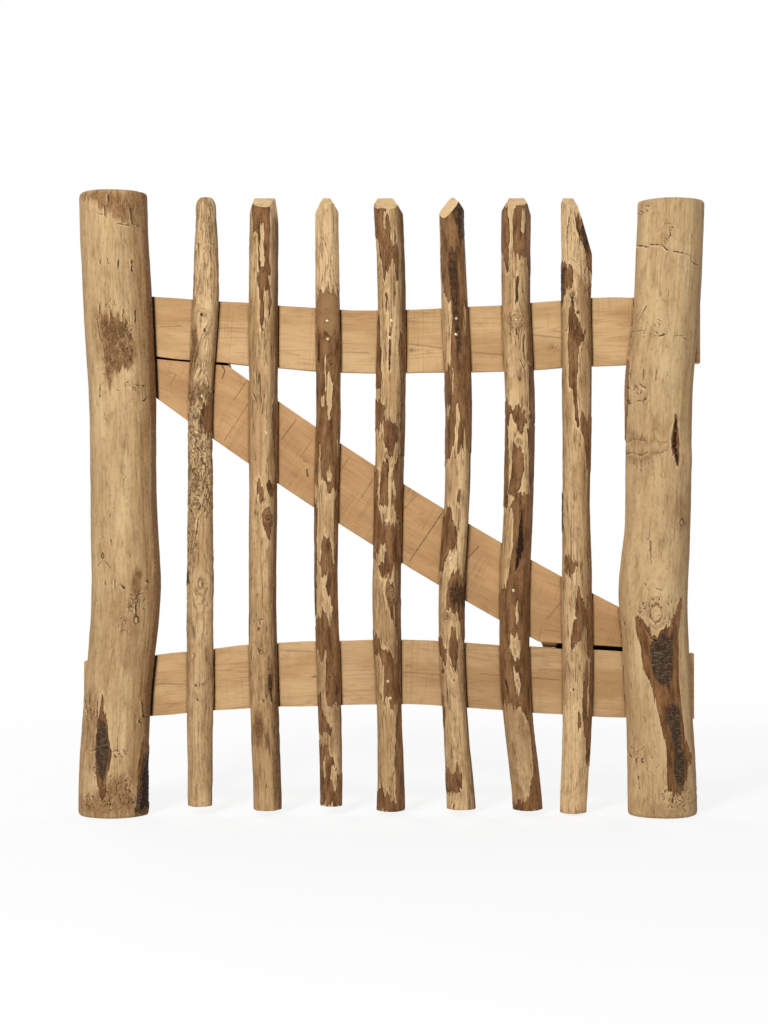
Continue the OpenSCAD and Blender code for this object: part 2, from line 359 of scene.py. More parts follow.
@dataclass(frozen=True)
class LogFinish:
    """Peeled wood with bark left on in patches, for one kind of log."""

    name: str
    wood_light: Colour
    wood: Colour
    wood_dark: Colour
    stain_and_shade: Colour
    bark: Colour
    bark_light: Colour
    bark_dark: Colour
    inner_bark: Colour
    old_bark: Colour
    ribs: Colour
    painted_highlight: Colour
    streak: float
    lines: float
    bump: float

    def build(self) -> bpy.types.Material:
        """Makes the material from the values stored in the log's mesh.

        Returns:
            The finished material.
        """
        s = Sheet(self.name)
        streak = s.fibres((300, 300, 8), 4, 0.6)
        rugged = s.fibres((330, 330, 110), 4, 0.7)
        edge = s.maths("ADD", s.attribute("bark"), s.step(s.fibres((800, 800, 90), 3), 0.2, 0.8, -1.1, 1.1, even=True))
        covered = s.step(edge, -0.2, 0.2)
        wood, lines = self.peeled_wood(s, streak, edge)
        colour = s.mixed(covered, wood, self.bark_skin(s, rugged))
        rim = s.times(s.step(edge, -0.7, 0.0), s.step(edge, 0.9, 0.1))
        colour = s.mixed(s.times(rim, 0.6), colour, self.bark_dark)
        depth = s.attribute("crack")
        colour = s.over(colour, self.stain_and_shade, depth, 0.2, 0.6, 0.6)
        crack = s.step(depth, 0.5, 0.9)
        colour = s.mixed(s.times(crack, 0.95), colour, DEEP_CRACK)
        rag = s.fibres((430, 430, 300), 3, 0.7)
        side = s.attribute("aside")
        beside = s.maths("ADD", s.maths("ABSOLUTE", side), s.step(rag, 0.3, 0.7, -0.6, 0.8, even=True))
        gaps = s.step(s.fibres((160, 160, 150)), 0.36, 0.52, 0.35, 1.0)
        plain = s.times(gaps, s.step(s.attribute("near_line"), 0.15, 0.95, 0.0, 0.92, even=True))
        # painted highlight: a pale strip along one side of each dark line, as if its edge caught the light
        painted_highlight = s.times(s.step(side, 0.85, 1.3), s.step(side, 2.8, 1.5))
        painted_highlight = s.times(painted_highlight, s.step(covered, 0, 1, 0.75, 0.2, even=True))
        painted_highlight = s.times(painted_highlight, s.step(s.attribute("stain_and_shade"), 0.3, 1, 1.0, 0.3, even=True))
        colour = s.mixed(s.times(painted_highlight, plain), colour, self.painted_highlight)
        line = s.times(s.step(beside, 0.95, 0.3), plain)
        colour = s.mixed(line, colour, LOG_LINE)
        normal = s.bumped(line, -0.0009)
        normal = s.bumped(streak, 0.0008 * self.bump, normal)
        normal = s.bumped(lines, -0.0006 * self.bump, normal)
        normal = s.bumped(s.times(rugged, s.step(covered, 0, 1, 0.3, 1.0)), 0.0009 * self.bump, normal)
        normal = s.bumped(covered, 0.0008, normal)
        normal = s.bumped(crack, -0.0008, normal)
        return s.finish(colour, s.step(covered, 0, 1, 0.7, 0.62), normal, specular=0.07)

    def peeled_wood(self, s: Sheet, streak: Socket, edge: Socket) -> tuple[Socket, Socket]:
        """Colour of the wood under the bark.

        Args:
            s: The sheet under construction.
            streak: Long streaks along the grain.
            edge: Millimetres into the bark, below 0 on the wood.

        Returns:
            The colour, and the thin dark lines in it.
        """
        broad = s.fibres((30, 30, 8), 3)
        weather = s.maths("ADD", s.attribute("weather"), s.step(broad, 0.3, 0.7, -0.35, 0.35, even=True))
        tone = s.mixed(s.step(weather, 0.0, 1.0), self.wood_light, self.wood)
        tone = s.over(tone, self.wood_light, edge, -5.5, -0.8, 0.8)
        blotch = s.fibres((75, 75, 34), 6, 0.7)
        tone = s.over(tone, self.wood_dark, blotch, 0.46, 0.7, 0.55)
        smudge = s.fibres((210, 210, 150), 5, 0.75)
        tone = s.over(tone, self.stain_and_shade, smudge, 0.52, 0.72, 0.5)
        tone = s.over(tone, self.wood_dark, streak, 0.48, 0.75, self.streak)
        tone = s.over(tone, self.wood_light, streak, 0.5, 0.27, 0.35 * self.streak)
        fibre = s.fibres((520, 520, 22), 3)
        tone = s.over(tone, self.wood_dark, fibre, 0.5, 0.75, 0.5 * self.streak)
        # thin lines where a stretched noise passes its middle, broken by another one
        run = s.fibres((170, 170, 9), 3, 0.55)
        thin = s.step(s.maths("ABSOLUTE", s.maths("SUBTRACT", run, 0.5)), 0.02, 0.004)
        here = s.step(s.fibres((70, 70, 22)), 0.4, 0.55)
        lines = s.times(s.times(thin, here), s.step(weather, -0.2, 0.9, 0.45, 1.0))
        maze = s.fibres((150, 150, 95), 2, 0.5, twist=0.5)
        curls = s.step(s.maths("ABSOLUTE", s.maths("SUBTRACT", maze, 0.5)), 0.045, 0.012)
        lines = s.maths("MAXIMUM", lines, s.times(curls, s.attribute("curl")))
        tone = s.mixed(s.times(lines, self.lines), tone, self.bark_dark)
        speckle = s.fibres((380, 380, 200), 5, 0.75)
        stain_and_shade = s.times(s.attribute("stain_and_shade"), s.step(speckle, 0.32, 0.66, 0.55, 1.35, even=True))
        tone = s.over(tone, self.stain_and_shade, stain_and_shade, 0.0, 1.0, 0.85, even=True)
        return s.mixed(s.step(stain_and_shade, 0.75, 1.5, 0.0, 0.6, even=True), tone, self.bark_dark), lines

    def bark_skin(self, s: Sheet, rugged: Socket) -> Socket:
        """Colour of the bark that is left: mottled brown, dark where old, light where only its inside is left."""
        mottle = s.fibres((120, 120, 26), 5, 0.65)
        skin = s.mixed(s.step(mottle, 0.38, 0.66), self.bark, self.bark_light)
        skin = s.over(skin, self.bark_dark, mottle, 0.47, 0.3, 0.6)
        flecks = s.fibres((420, 420, 130), 3, 0.6)
        skin = s.over(skin, self.bark_dark, flecks, 0.5, 0.72, 0.55)
        age = s.attribute("age")
        old = s.times(s.step(age, 0.1, 0.7), s.step(rugged, 0.3, 0.6, 0.5, 1.0))
        ribs = s.fibres((110, 110, 420), 3, 0.65)
        ribbed = s.mixed(s.step(ribs, 0.5, 0.68, 0.0, 0.7), self.old_bark, self.ribs)
        skin = s.mixed(old, skin, ribbed)
        return s.mixed(s.step(age, -0.1, -0.7, 0.0, 0.85), skin, self.inner_bark)


@dataclass(frozen=True)
class EndGrainFinish:
    """Sawn or hewn end of a log, with its rings round the pith."""

    name: str
    fresh: Colour
    ring: Colour
    rim: Colour

    def build(self) -> bpy.types.Material:
        """Makes the material; the rings run round the log's own middle."""
        s = Sheet(self.name)
        wobble = s.fibres((70, 70, 30))
        across = s.stretched(s.attribute("grain", "Vector"), (1, 1, 0))
        away = s.maths("ADD", s.length(across), s.times(wobble, 0.004))
        rings = s.maths("SINE", s.times(away, 2 * math.pi / 0.0026))
        colour = s.mixed(s.step(rings, 0.1, 1.0, 0.0, 0.5), self.fresh, self.ring)
        blotch = s.fibres((90, 90, 90), 3)
        colour = s.over(colour, self.rim, blotch, 0.5, 0.7, 0.5)
        pores = s.fibres((1400, 1400, 300))
        colour = s.over(colour, self.rim, pores, 0.55, 0.75, 0.4)
        return s.finish(colour, 0.75, s.bumped(pores, 0.0003, s.bumped(rings, 0.00015)))


@dataclass(frozen=True)
class BoardFinish:
    """Rough-sawn board: grain along its length and saw marks across it."""

    name: str
    light: Colour
    wood: Colour
    dark: Colour
    stain_and_shade: Colour
    saw_marks: float
    rings: float

    def build(self) -> bpy.types.Material:
        """Makes the material from the values stored in the board's mesh."""
        s = Sheet(self.name)
        broad = s.fibres((5, 20, 26), 4, 0.6)
        colour = s.mixed(s.step(broad, 0.35, 0.65), self.wood, self.light)
        wave = s.fibres((2.2, 20, 34), 3, 0.5, twist=0.3)
        rings = s.maths("SINE", s.times(wave, 70.0))
        shown = s.step(s.fibres((9, 30, 30)), 0.38, 0.62, 0.0, self.rings)
        colour = s.mixed(s.times(s.step(rings, 0.35, 1.0), shown), colour, self.dark)
        streak = s.fibres((13, 200, 400), 4, 0.65)
        colour = s.over(colour, self.dark, streak, 0.5, 0.72, 0.28)
        colour = s.over(colour, self.light, streak, 0.46, 0.3, 0.15)
        saw = s.fibres((430, 20, 7), 3, 0.6)
        there = s.step(s.fibres((11, 9, 16)), 0.4, 0.65)
        cut = s.times(s.step(saw, 0.5, 0.72), there)
        colour = s.mixed(s.times(cut, self.saw_marks), colour, self.dark)
        blotch = s.fibres((40, 60, 90), 5, 0.7)
        colour = s.over(colour, self.dark, blotch, 0.52, 0.72, 0.3)
        colour = s.over(colour, self.stain_and_shade, s.attribute("stain_and_shade"), 0.0, 1.0, 0.8, even=True)
        # crack holds the dark knot hearts and the painted shade in the gaps between boards
        crack = s.attribute("crack")
        colour = s.over(colour, self.stain_and_shade, crack, 0.18, 0.6, 0.6)
        colour = s.over(colour, BOARD_GAP, crack, 0.6, 0.95, 0.95)
        rag = s.step(streak, 0.3, 0.7, -0.4, 0.5, even=True)
        beside = s.maths("ADD", s.maths("ABSOLUTE", s.attribute("aside")), rag)
        line = s.step(beside, 0.95, 0.3)
        line = s.times(line, s.step(s.attribute("near_line"), 0.2, 1.0, 0.0, 0.9, even=True))
        colour = s.mixed(line, colour, BOARD_LINE)
        # painted shadow beside each log: a brown fringe and a near-black line at the log's edge
        seam = s.maths("ADD", s.attribute("seam"), s.step(streak, 0.3, 0.7, -0.4, 0.4, even=True))
        colour = s.mixed(s.step(seam, 1.0, 4.5, 0.45, 0.0), colour, self.stain_and_shade)
        colour = s.over(colour, BOARD_GAP, seam, 1.3, 0.5, 0.96)
        fuzz = s.fibres((200, 500, 700), 3, 0.7)
        normal = s.bumped(cut, -0.0003)
        normal = s.bumped(fuzz, 0.0005, s.bumped(streak, 0.0008, normal))
        return s.finish(colour, s.step(fuzz, 0.3, 0.7, 0.7, 0.85), normal, specular=0.1)


@dataclass(frozen=True)
class ScrewFinish:
    """Yellow zinc on a small screw head."""

    name: str
    zinc: Colour
    worn: Colour

    def build(self) -> bpy.types.Material:
        """Makes the material on Object coordinates."""
        s = Sheet(self.name)
        coords = s.tree.nodes.new("ShaderNodeTexCoord").outputs["Object"]
        patchy = s.noise(s.stretched(coords, (900, 900, 900)), 3)
        colour = s.mixed(s.step(patchy, 0.4, 0.65), self.zinc, self.worn)
        s.shader.inputs["Metallic"].default_value = 0.4
        return s.finish(colour, s.step(patchy, 0.3, 0.7, 0.28, 0.45), s.bumped(patchy, 0.00008), specular=0.5)


POLE_FINISH = LogFinish(
    name="peeled_pole",
    wood_light=srgb(213, 182, 135),
    wood=srgb(190, 157, 113),
    wood_dark=srgb(150, 115, 77),
    stain_and_shade=srgb(134, 94, 58),
    bark=srgb(112, 76, 46),
    bark_light=srgb(148, 106, 68),
    bark_dark=srgb(72, 46, 28),
    inner_bark=srgb(150, 113, 75),
    old_bark=srgb(58, 46, 35),
    ribs=srgb(128, 112, 90),
    painted_highlight=srgb(226, 193, 146),
    streak=0.12,
    lines=0.25,
    bump=0.6,
)
PALE_FINISH = LogFinish(
    name="cleft_pale",
    wood_light=srgb(224, 189, 141),
    wood=srgb(184, 148, 104),
    wood_dark=srgb(132, 96, 61),
    stain_and_shade=srgb(112, 77, 46),
    bark=srgb(115, 79, 49),
    bark_light=srgb(147, 108, 71),
    bark_dark=srgb(62, 40, 24),
    inner_bark=srgb(152, 116, 77),
    old_bark=srgb(60, 43, 30),
    ribs=srgb(112, 82, 56),
    painted_highlight=srgb(236, 202, 154),
    streak=0.45,
    lines=0.75,
    bump=1.1,
)
POLE_END = EndGrainFinish("pole_end_grain", srgb(205, 170, 122), srgb(172, 132, 88), srgb(150, 112, 72))
PALE_END = EndGrainFinish("pale_end_grain", srgb(222, 188, 138), srgb(196, 156, 106), srgb(176, 138, 92))
RAIL_FINISH = BoardFinish(
    "sawn_rail", srgb(211, 174, 126), srgb(190, 150, 104), srgb(146, 106, 66), srgb(112, 78, 47), 0.3, 0.3
)
BRACE_FINISH = BoardFinish(
    "sawn_brace", srgb(201, 159, 111), srgb(181, 139, 95), srgb(136, 96, 60), srgb(110, 76, 46), 0.35, 0.12
)
SCREW_FINISH = ScrewFinish("zinc_screw", srgb(246, 228, 176), srgb(206, 178, 122))


# ---- log details


class Kind(Enum):
    """What a mark on a log is."""

    BARK = "bark left on"
    PEEL = "window of peeled wood in the bark"
    DARK = "old dark bark"
    INNER = "smooth inner bark"
    STAIN = "brown stain on the peeled wood"
    FRESH = "pale wood, freshly cut"
    HOLLOW = "black rotten wood in a gash"


class Ground(Enum):
    """How the peeled wood of a stretch of log is worked."""

    RIPPLED = "long ridges along the grain"
    WORMY = "rough winding ridges"
    SPLIT = "smooth split face"
    CRUMBLY = "crumbled wood, its hollows brown"


@dataclass(frozen=True)
class Mark:
    """A patch on the front of a log, as rows of height, left and right edge in mm from its axis.

    A row without a right edge runs on round the right side.
    """

    kind: Kind
    rows: tuple[Row, ...]
    strength: float = 1.0


@dataclass(frozen=True)
class Knot:
    """A knot: its height, place beside the axis and radius in mm, and how dark its heart is."""

    height: float
    aside: float
    radius: float
    heart: float = 0.5
    tall: float = 1.3
    ring: float = 1.0


@dataclass(frozen=True)
class Nick:
    """A dark cut, crack or pit along a path of heights and places beside the axis, in mm."""

    path: tuple[tuple[float, float], ...]
    width: float = 1.2
    depth: float = 0.8


@dataclass(frozen=True)
class Stretch:
    """A stretch of log between two heights in mm, how its wood is worked and how strongly."""

    ground: Ground
    low: float
    high: float
    strength: float = 1.0
    left: float = -SIDE
    right: float = SIDE
    lean: float = 0.0


@dataclass
class LogSkin:
    """The unrolled surface of a log: one row for each ring and one column for each direction."""

    heights: np.ndarray
    directions: np.ndarray
    middle_x: np.ndarray
    middle_y: float
    radii: np.ndarray
    beside: np.ndarray = field(init=False)
    around: np.ndarray = field(init=False)
    front: np.ndarray = field(init=False)

    def __post_init__(self) -> None:
        """Works out the places round and beside the log in mm."""
        x = self.radii * np.sin(self.directions)
        y = -self.radii * np.cos(self.directions)
        step = np.hypot(np.diff(x, axis=1), np.diff(y, axis=1)) / MM
        run = np.concatenate([np.zeros((len(x), 1)), np.cumsum(step, axis=1)], axis=1)
        middle = int(np.argmin(np.abs(self.directions)))
        self.around = run - run[:, middle : middle + 1]
        self.beside = x / MM
        for line, beside, left, right in zip(self.around, self.beside, x.argmin(axis=1), x.argmax(axis=1)):
            beside[:left] = beside[left] + line[:left] - line[left]
            beside[right + 1 :] = beside[right] + line[right + 1 :] - line[right]
        self.beside = self.beside + self.middle_x[:, None] / MM
        depth = np.abs(self.directions)[None, :] + np.zeros_like(x)
        corner = math.pi - np.arctan2(x.max(axis=1), (SEAT_Y - self.middle_y))[:, None]
        self.front = smooth(corner - depth, -0.02, 0.16)


@dataclass
class Surface:
    """Relief and finish values over the skin of a log, worked in step by step."""

    skin: LogSkin
    axis: float
    noise: SmoothNoise

    def __post_init__(self) -> None:
        """Starts with a bare, clean surface."""
        skin = self.skin
        self.height = (skin.heights / MM)[:, None] + np.zeros_like(skin.radii)
        self.beside = skin.beside - self.axis
        self.px = skin.radii * np.sin(skin.directions) / MM
        self.py = -skin.radii * np.cos(skin.directions) / MM
        empty = np.zeros_like(self.height)
        self.flow, self.relief, self.stain_and_shade, self.crack, self.age, self.curl = (empty.copy() for _ in range(6))
        self.bark, self.near_line = empty - REACH, empty.copy()
        self.aside = empty + 5.0
        self.weather, self.fresh = empty.copy(), empty.copy()
        self.grain = np.zeros((*empty.shape, 3))

    def waves(self, across: float, along: float, offset: float = 0.0, bend: np.ndarray | float = 0.0) -> np.ndarray:
        """Smooth noise, its lumps so many mm across and along the log.

        Args:
            across: Size of a lump across the grain.
            along: Size of a lump along the grain.
            offset: Picks another stretch of the noise.
            bend: Sideways shift in lumps.

        Returns:
            Values of about -1 to 1.
        """
        x = (self.px - self.flow) / across + bend
        return self.noise.at(x, self.py / across, self.height / along + offset)

    def bend_grain(self, knots: Sequence[Knot]) -> None:
        """Leads the grain round the knots."""
        for knot in knots:
            aside = self.beside - knot.aside
            away = np.hypot(aside, (self.height - knot.height) / knot.tall) / knot.radius
            self.flow += aside * 0.85 * np.exp(-((away / 2.4) ** 2))

    def lay_marks(self, marks: Sequence[Mark]) -> None:
        """Lays bark, peeled windows and stains, their edges ragged along the grain."""
        tall = self.height + 11 * self.waves(4.5, 70) + 9 * self.waves(2.3, 50, 5) + 3 * self.waves(8, 18, 9)
        aside = self.beside + 1.0 * self.waves(9, 13, 31) + 0.6 * self.waves(4, 20, 57) + 0.4 * self.waves(2.2, 9, 77)
        patchy = 0.85 + 0.35 * self.noise.layers(self.px / 8, self.py / 8, self.height / 14 + 3, 2)
        for mark in marks:
            inside = mark_field(mark, tall, aside)
            if mark.kind is Kind.PEEL:
                self.bark = np.minimum(self.bark, -inside)
            # a stain mark lays brown stain, and on the right-hand sides of logs also painted shade
            elif mark.kind is Kind.STAIN:
                self.stain_and_shade = np.maximum(self.stain_and_shade, mark.strength * patchy * smooth(inside, -5.0, 5.0))
            elif mark.kind is Kind.FRESH:
                self.fresh = np.maximum(self.fresh, smooth(inside, -6.0, 6.0))
            elif mark.kind is Kind.HOLLOW:
                rotten = smooth(inside, -0.6, 0.6)
                self.crack = np.maximum(self.crack, rotten * (0.95 + 0.6 * self.waves(2.2, 3, 47)))
                self.relief -= 1.1 * rotten * (1 + 0.6 * self.waves(2.5, 3.5, 49))
            else:
                self.bark = np.maximum(self.bark, inside)
                if mark.kind is Kind.DARK:
                    old = smooth(inside, -2.5, 3.0) * patchy
                    self.age = np.where(old > 0, np.maximum(self.age, old), self.age)
                if mark.kind is Kind.INNER:
                    self.age = np.where(inside > -0.5, -1.0, self.age)
        self.bark = np.clip(self.bark, -REACH, REACH)

    def shade(self, weather: float, flank: float) -> None:
        """Weathers the wood unevenly, and darkens the sides turned away from the front, the right-hand one most:
        partly brown stain where the knife left the wood rougher, partly painted shade.

        Args:
            weather: How weathered the wood is, 0 to 1.
            flank: How dark the right-hand side is, 0 to 1, partly from stain and partly from painted shade.
        """
        self.weather += weather + 0.25 * self.waves(14, 120, 61)
        self.weather += 0.5 * flank * smooth(np.abs(self.waves(11, 170, 23)), 0.2, 0.0)
        # painted shade, partly real stain: the right-hand side darkened, and both sides turned away from the front
        # darkened, the right one more
        side = self.skin.directions[None, :] + 0.16 * self.waves(5, 60, 15)
        browned = smooth(side, 0.62, 1.2) * smooth(-side, -2.7, -1.9)
        self.stain_and_shade = np.maximum(self.stain_and_shade, flank * browned * (0.75 + 0.5 * self.waves(4, 50, 83)))
        turned = np.abs(self.skin.directions[None, :]) + 0.07 * self.waves(4, 30, 91)
        brown = np.where(self.skin.directions[None, :] < 0, 0.3, 0.5 + 0.85 * flank)
        self.stain_and_shade = np.maximum(self.stain_and_shade, brown * smooth(turned, 1.28, 1.62) * smooth(-turned, -2.8, -2.3))
        self.stain_and_shade *= 1 - 0.75 * self.fresh
        self.weather -= 0.6 * self.fresh

    def barked(self) -> np.ndarray:
        """Share of bark at each spot, 0 to 1."""
        return smooth(self.bark, -0.3, 1.1)

    def raise_ground(self, lump: float, ridge: float, facet: float, bark_rise: float) -> None:
        """Raises the lumps and ridges of the wood, the flats of the knife and the bark.

        Args:
            lump: Height in mm of the broad lumps.
            ridge: Height in mm of the ridges along the grain.
            facet: Height in mm of the arrises between the flats.
            bark_rise: Thickness in mm of the bark.
        """
        barked = self.barked()
        self.relief += lump * (self.waves(20, 45) + 0.5 * self.waves(8, 19, 5))
        self.relief -= facet * (1 - barked) * (2 * np.abs(self.waves(11, 170, 23)) - 0.4)
        self.relief += ridge * (1 - barked) * (self.waves(3.2, 55, 11) + 0.5 * self.waves(1.7, 30, 19))
        self.relief += bark_rise * barked + 0.22 * barked * self.waves(2.5, 6, 13)
        self.relief += 0.7 * smooth(self.age, 0.2, 1.0) * (self.waves(3, 9, 7) + 0.5 * self.waves(1.8, 4, 29))

    def work_stretch(self, stretch: Stretch, ridge: float) -> None:
        """Works the wood of one stretch of the log, but not its bark."""
        inside = stretch.strength * (1 - self.barked())
        inside = inside * smooth(self.height, stretch.low - 12, stretch.low + 12)
        inside = inside * smooth(-self.height, -stretch.high - 12, 12 - stretch.high)
        inside = inside * smooth(self.beside, stretch.left - 3, stretch.left + 3)
        inside = inside * smooth(-self.beside, -stretch.right - 3, 3 - stretch.right)
        if stretch.ground is Ground.SPLIT:
            self.relief -= inside * ridge * self.waves(3.2, 55, 11)
            return
        if stretch.ground is Ground.CRUMBLY:
            lumps = self.waves(4.0, 5.5, 51) + 0.7 * self.waves(2.2, 2.6, 55)
            self.relief += 1.2 * inside * lumps
            self.stain_and_shade = np.maximum(self.stain_and_shade, inside * smooth(-lumps, 0.0, 0.4))
            return
        wormy = stretch.ground is Ground.WORMY
        if wormy:
            self.curl = np.maximum(self.curl, inside)
        swirl = self.waves(10, 22 if wormy else 34, 21)
        bend = (1.6 if wormy else 0.9) * swirl + stretch.lean * (self.height - stretch.low) / 4.2
        lines = self.waves(4.2, 20 if wormy else 46, 17, bend=bend)
        groove = np.exp(-((lines / 0.17) ** 2))
        broken = smooth(self.waves(7, 26, 40), -0.3, 0.1)
        self.relief += inside * ((1.3 if wormy else 1.1) * np.abs(lines) - 0.7 * groove)
        self.stain_and_shade = np.maximum(self.stain_and_shade, 0.3 * inside * groove)
        self.draw(lines / 0.22, np.clip(0.62 * inside, 0, 0.7) * broken)

    def draw(self, aside: np.ndarray, plain: np.ndarray) -> None:
        """Draws dark lines where aside, in line widths, passes 0 and plain is above 0."""
        self.aside = np.where(plain > self.near_line, aside, self.aside)
        self.near_line = np.maximum(self.near_line, plain)

    def grow_knot(self, knot: Knot) -> None:
        """Grows one knot: a raised collar, a dark ring and a sunk heart."""
        aside, up = self.beside - knot.aside, (self.height - knot.height) / knot.tall
        away = np.hypot(aside, up) / knot.radius
        wobble = away + 0.3 * self.noise.at(self.px / 2.6, self.py / 2.6, self.height / 2.6 + 71)
        collar, dip = np.exp(-(((away - 1.1) / 0.55) ** 2)), np.exp(-((away / 0.6) ** 2))
        self.relief += knot.radius * (0.22 * collar - 0.14 * dip)
        ring = np.exp(-(((wobble - 1.0) / max(0.2, 1.1 / knot.radius)) ** 2))
        outer = np.exp(-(((wobble - 1.6) / 0.18) ** 2))
        self.stain_and_shade = np.maximum(self.stain_and_shade, knot.ring * np.maximum(0.95 * ring, 0.4 * outer))
        broken = smooth(self.waves(5, 5, 13), -0.3, 0.1) * (wobble < 2.2)
        self.draw((wobble - 1.0) * knot.radius / 1.1, 0.85 * knot.ring * broken)
        heart = smooth(-wobble, -0.95, -0.7) * (0.6 + 0.4 * np.cos(14 * wobble))
        self.stain_and_shade = np.maximum(self.stain_and_shade, knot.heart * heart)
        self.crack = np.maximum(self.crack, knot.heart * 1.2 * smooth(-wobble, -0.42, -0.2))

    def cut_nicks(self, nicks: Sequence[Nick]) -> None:
        """Cuts the nicks, cracks and pits, each a little crooked."""
        wander = self.beside + 0.8 * self.noise.at(self.px / 3, self.py / 3, self.height / 5)
        jitter = self.height + 0.8 * self.noise.at(self.px / 3, self.py / 3, self.height / 5 + 40)
        for nick in nicks:
            away, over = line_field(jitter, wander, nick.path)
            tip = smooth(-over, -2.0, 0.3)
            self.relief -= nick.depth * tip * np.exp(-((away / (0.62 * max(nick.width, 1.5))) ** 2))
            widths = np.abs(away) / nick.width
            near = smooth(-widths, -5, -3) if len(nick.path) > 1 else smooth(-widths, -1.5, -1.1)
            self.draw(away / nick.width, min(1.0, 0.3 + nick.depth) * near * tip)

    def settle(self, twist: float, seed: int) -> None:
        """Fades the relief out on the flat back, and winds the grain's coordinates."""
        front = self.skin.front
        for values in (self.relief, self.crack, self.near_line, self.stain_and_shade, self.age, self.curl):
            values *= front
        self.bark = self.bark * front - REACH * (1 - front)
        turn = twist * (self.height - self.height.min()) / 1000
        gx, gy = self.px - self.flow, self.py
        self.grain = np.stack([
            (gx * np.cos(turn) - gy * np.sin(turn)) * MM,
            (gx * np.sin(turn) + gy * np.cos(turn)) * MM,
            self.height * MM + 0.37 * seed,
        ], axis=-1)


@dataclass
class Log:
    """A grown log on the gate: a fine skin round its solid, with its marks worked in."""

    node: str
    axis: float
    finish: LogFinish
    end_finish: EndGrainFinish
    slot: str
    seed: int
    columns: int
    ring_gap: float
    end_round: float
    end_inset: float
    foot_inset: float | None = None
    bark_rise: float = 0.8
    lump: float = 0.5
    ridge: float = 0.2
    facet: float = 0.0
    twist: float = 0.0
    weather: float = 0.5
    flank: float = 0.5
    marks: tuple[Mark, ...] = ()
    knots: tuple[Knot, ...] = ()
    nicks: tuple[Nick, ...] = ()
    stretches: tuple[Stretch, ...] = ()
    specks: int = 0
    flecked: tuple[tuple[float, float, float, float, int], ...] = ()
    pointed: bool = False
    ease: float = 1.0
    # width in mm of the painted shadow line that the log leaves on the boards to its right
    seam: float = 1.0
    extra_cuts: tuple["HeadCut", ...] = ()
    skin: LogSkin | None = None

    def build(self, frame: dict, materials: dict[str, bpy.types.Material]) -> bpy.types.Object:
        """Builds and dresses the log.

        Args:
            materials: Built materials by name.

        Returns:
            The finished piece.
        """
        solid = frame["nodes"][self.node]
        own = head_cuts(solid) if self.pointed else []
        own_lens = not any(cut.kind is Cut.SAWN for cut in self.extra_cuts)
        cuts = [cut.eased(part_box(self.node)[1][2], self.ease) for cut in own if own_lens or cut.kind is not Cut.SAWN]
        cuts += self.extra_cuts
        skin = self.wrap(solid, own)
        piece = self.roll(self.work_in(skin), cuts)
        piece.data.materials.append(materials[self.finish.name])
        piece.data.materials.append(materials[self.end_finish.name])
        self.saw_head(piece, cuts)
        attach(piece, BODY)
        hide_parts(self.node)
        return piece

    def wrap(self, solid: bpy.types.Object, cuts: list["HeadCut"]) -> LogSkin:
        """Measures the solid by rays from its middle outwards.

        Args:
            solid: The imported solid.
            cuts: The cuts through its head, past which the log is carried on straight.

        Returns:
            The skin, still without its relief.
        """
        tree = solid_tree(solid)
        low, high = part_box(self.node)
        depth = SEAT_Y - low[1]
        middle_y = SEAT_Y - 0.42 * depth
        foot, head = low[2], high[2]
        rings = np.arange(foot + self.end_round * MM + 1e-4, head - self.end_round * MM, RAY_GAP)
        fan = np.linspace(-math.pi, math.pi, RAYS)

        def ray(origin: Triple, way: Triple) -> float:
            """Distance to the skin of the log, or nan at a cut through its head."""
            hit, normal, _, away = tree.ray_cast(Vector(origin), Vector(way))
            if hit is None or any(cut.holds(hit, normal) for cut in cuts):
                return math.nan
            return away

        far, seam_y = 0.2, SEAT_Y - 3 * MM
        axis_x = 0.5 * (low[0] + high[0])
        middle_x = np.array([
            0.5 * (ray((axis_x - far, seam_y, z), (1, 0, 0)) - ray((axis_x + far, seam_y, z), (-1, 0, 0)))
            for z in rings
        ]) + axis_x
        middle_x = soften(carry_up(middle_x[:, None])[:, 0], 3.0, 0)
        radii = np.array([
            [ray((x, middle_y, z), (math.sin(a), -math.cos(a), 0)) for a in fan] for x, z in zip(middle_x, rings)
        ])
        radii = soften(carry_up(radii), 1.2, 0)
        # an even spread of columns, almost four times as wide on the flat back
        mean = radii.mean(axis=0)
        gap = np.hypot(np.diff(mean * np.sin(fan)), np.diff(mean * np.cos(fan)))
        on_back = np.abs(0.5 * (fan[1:] + fan[:-1])) >= 1.9
        gap = gap * np.where(on_back, 0.28, 1.0)
        run = np.concatenate([[0], np.cumsum(gap)])
        directions = np.interp(np.linspace(0, run[-1], self.columns + 1), run, fan)
        heights = spread_heights(foot, head, self.ring_gap * MM, self.end_round * MM)
        fine = np.array([np.interp(heights, rings, radii[:, k]) for k in range(len(fan))]).T
        fine = soften(fine, 6.0 / self.ring_gap, 0)
        fine = np.array([np.interp(directions, fan, row) for row in fine])
        fine[:, :-1] = soften(fine[:, :-1], 0.8, 1, wrap=True)
        fine[:, -1] = fine[:, 0]
        return LogSkin(heights, directions, np.interp(heights, rings, middle_x), middle_y, fine)

    def work_in(self, skin: LogSkin) -> "Surface":
        """Works the marks, the relief, the knots and the nicks into the skin.

        Args:
            skin: The bare skin.

        Returns:
            The relief and the values that the material reads.
        """
        surface = Surface(skin, self.axis, SmoothNoise(self.seed))
        surface.bend_grain(self.knots)
        surface.lay_marks(self.marks)
        surface.shade(self.weather, self.flank)
        surface.raise_ground(self.lump, self.ridge, self.facet, self.bark_rise)
        for stretch in self.stretches:
            surface.work_stretch(stretch, self.ridge)
        for knot in self.knots:
            surface.grow_knot(knot)
        surface.cut_nicks((*self.nicks, *self.scattered_nicks(surface)))
        surface.settle(self.twist, self.seed)
        return surface

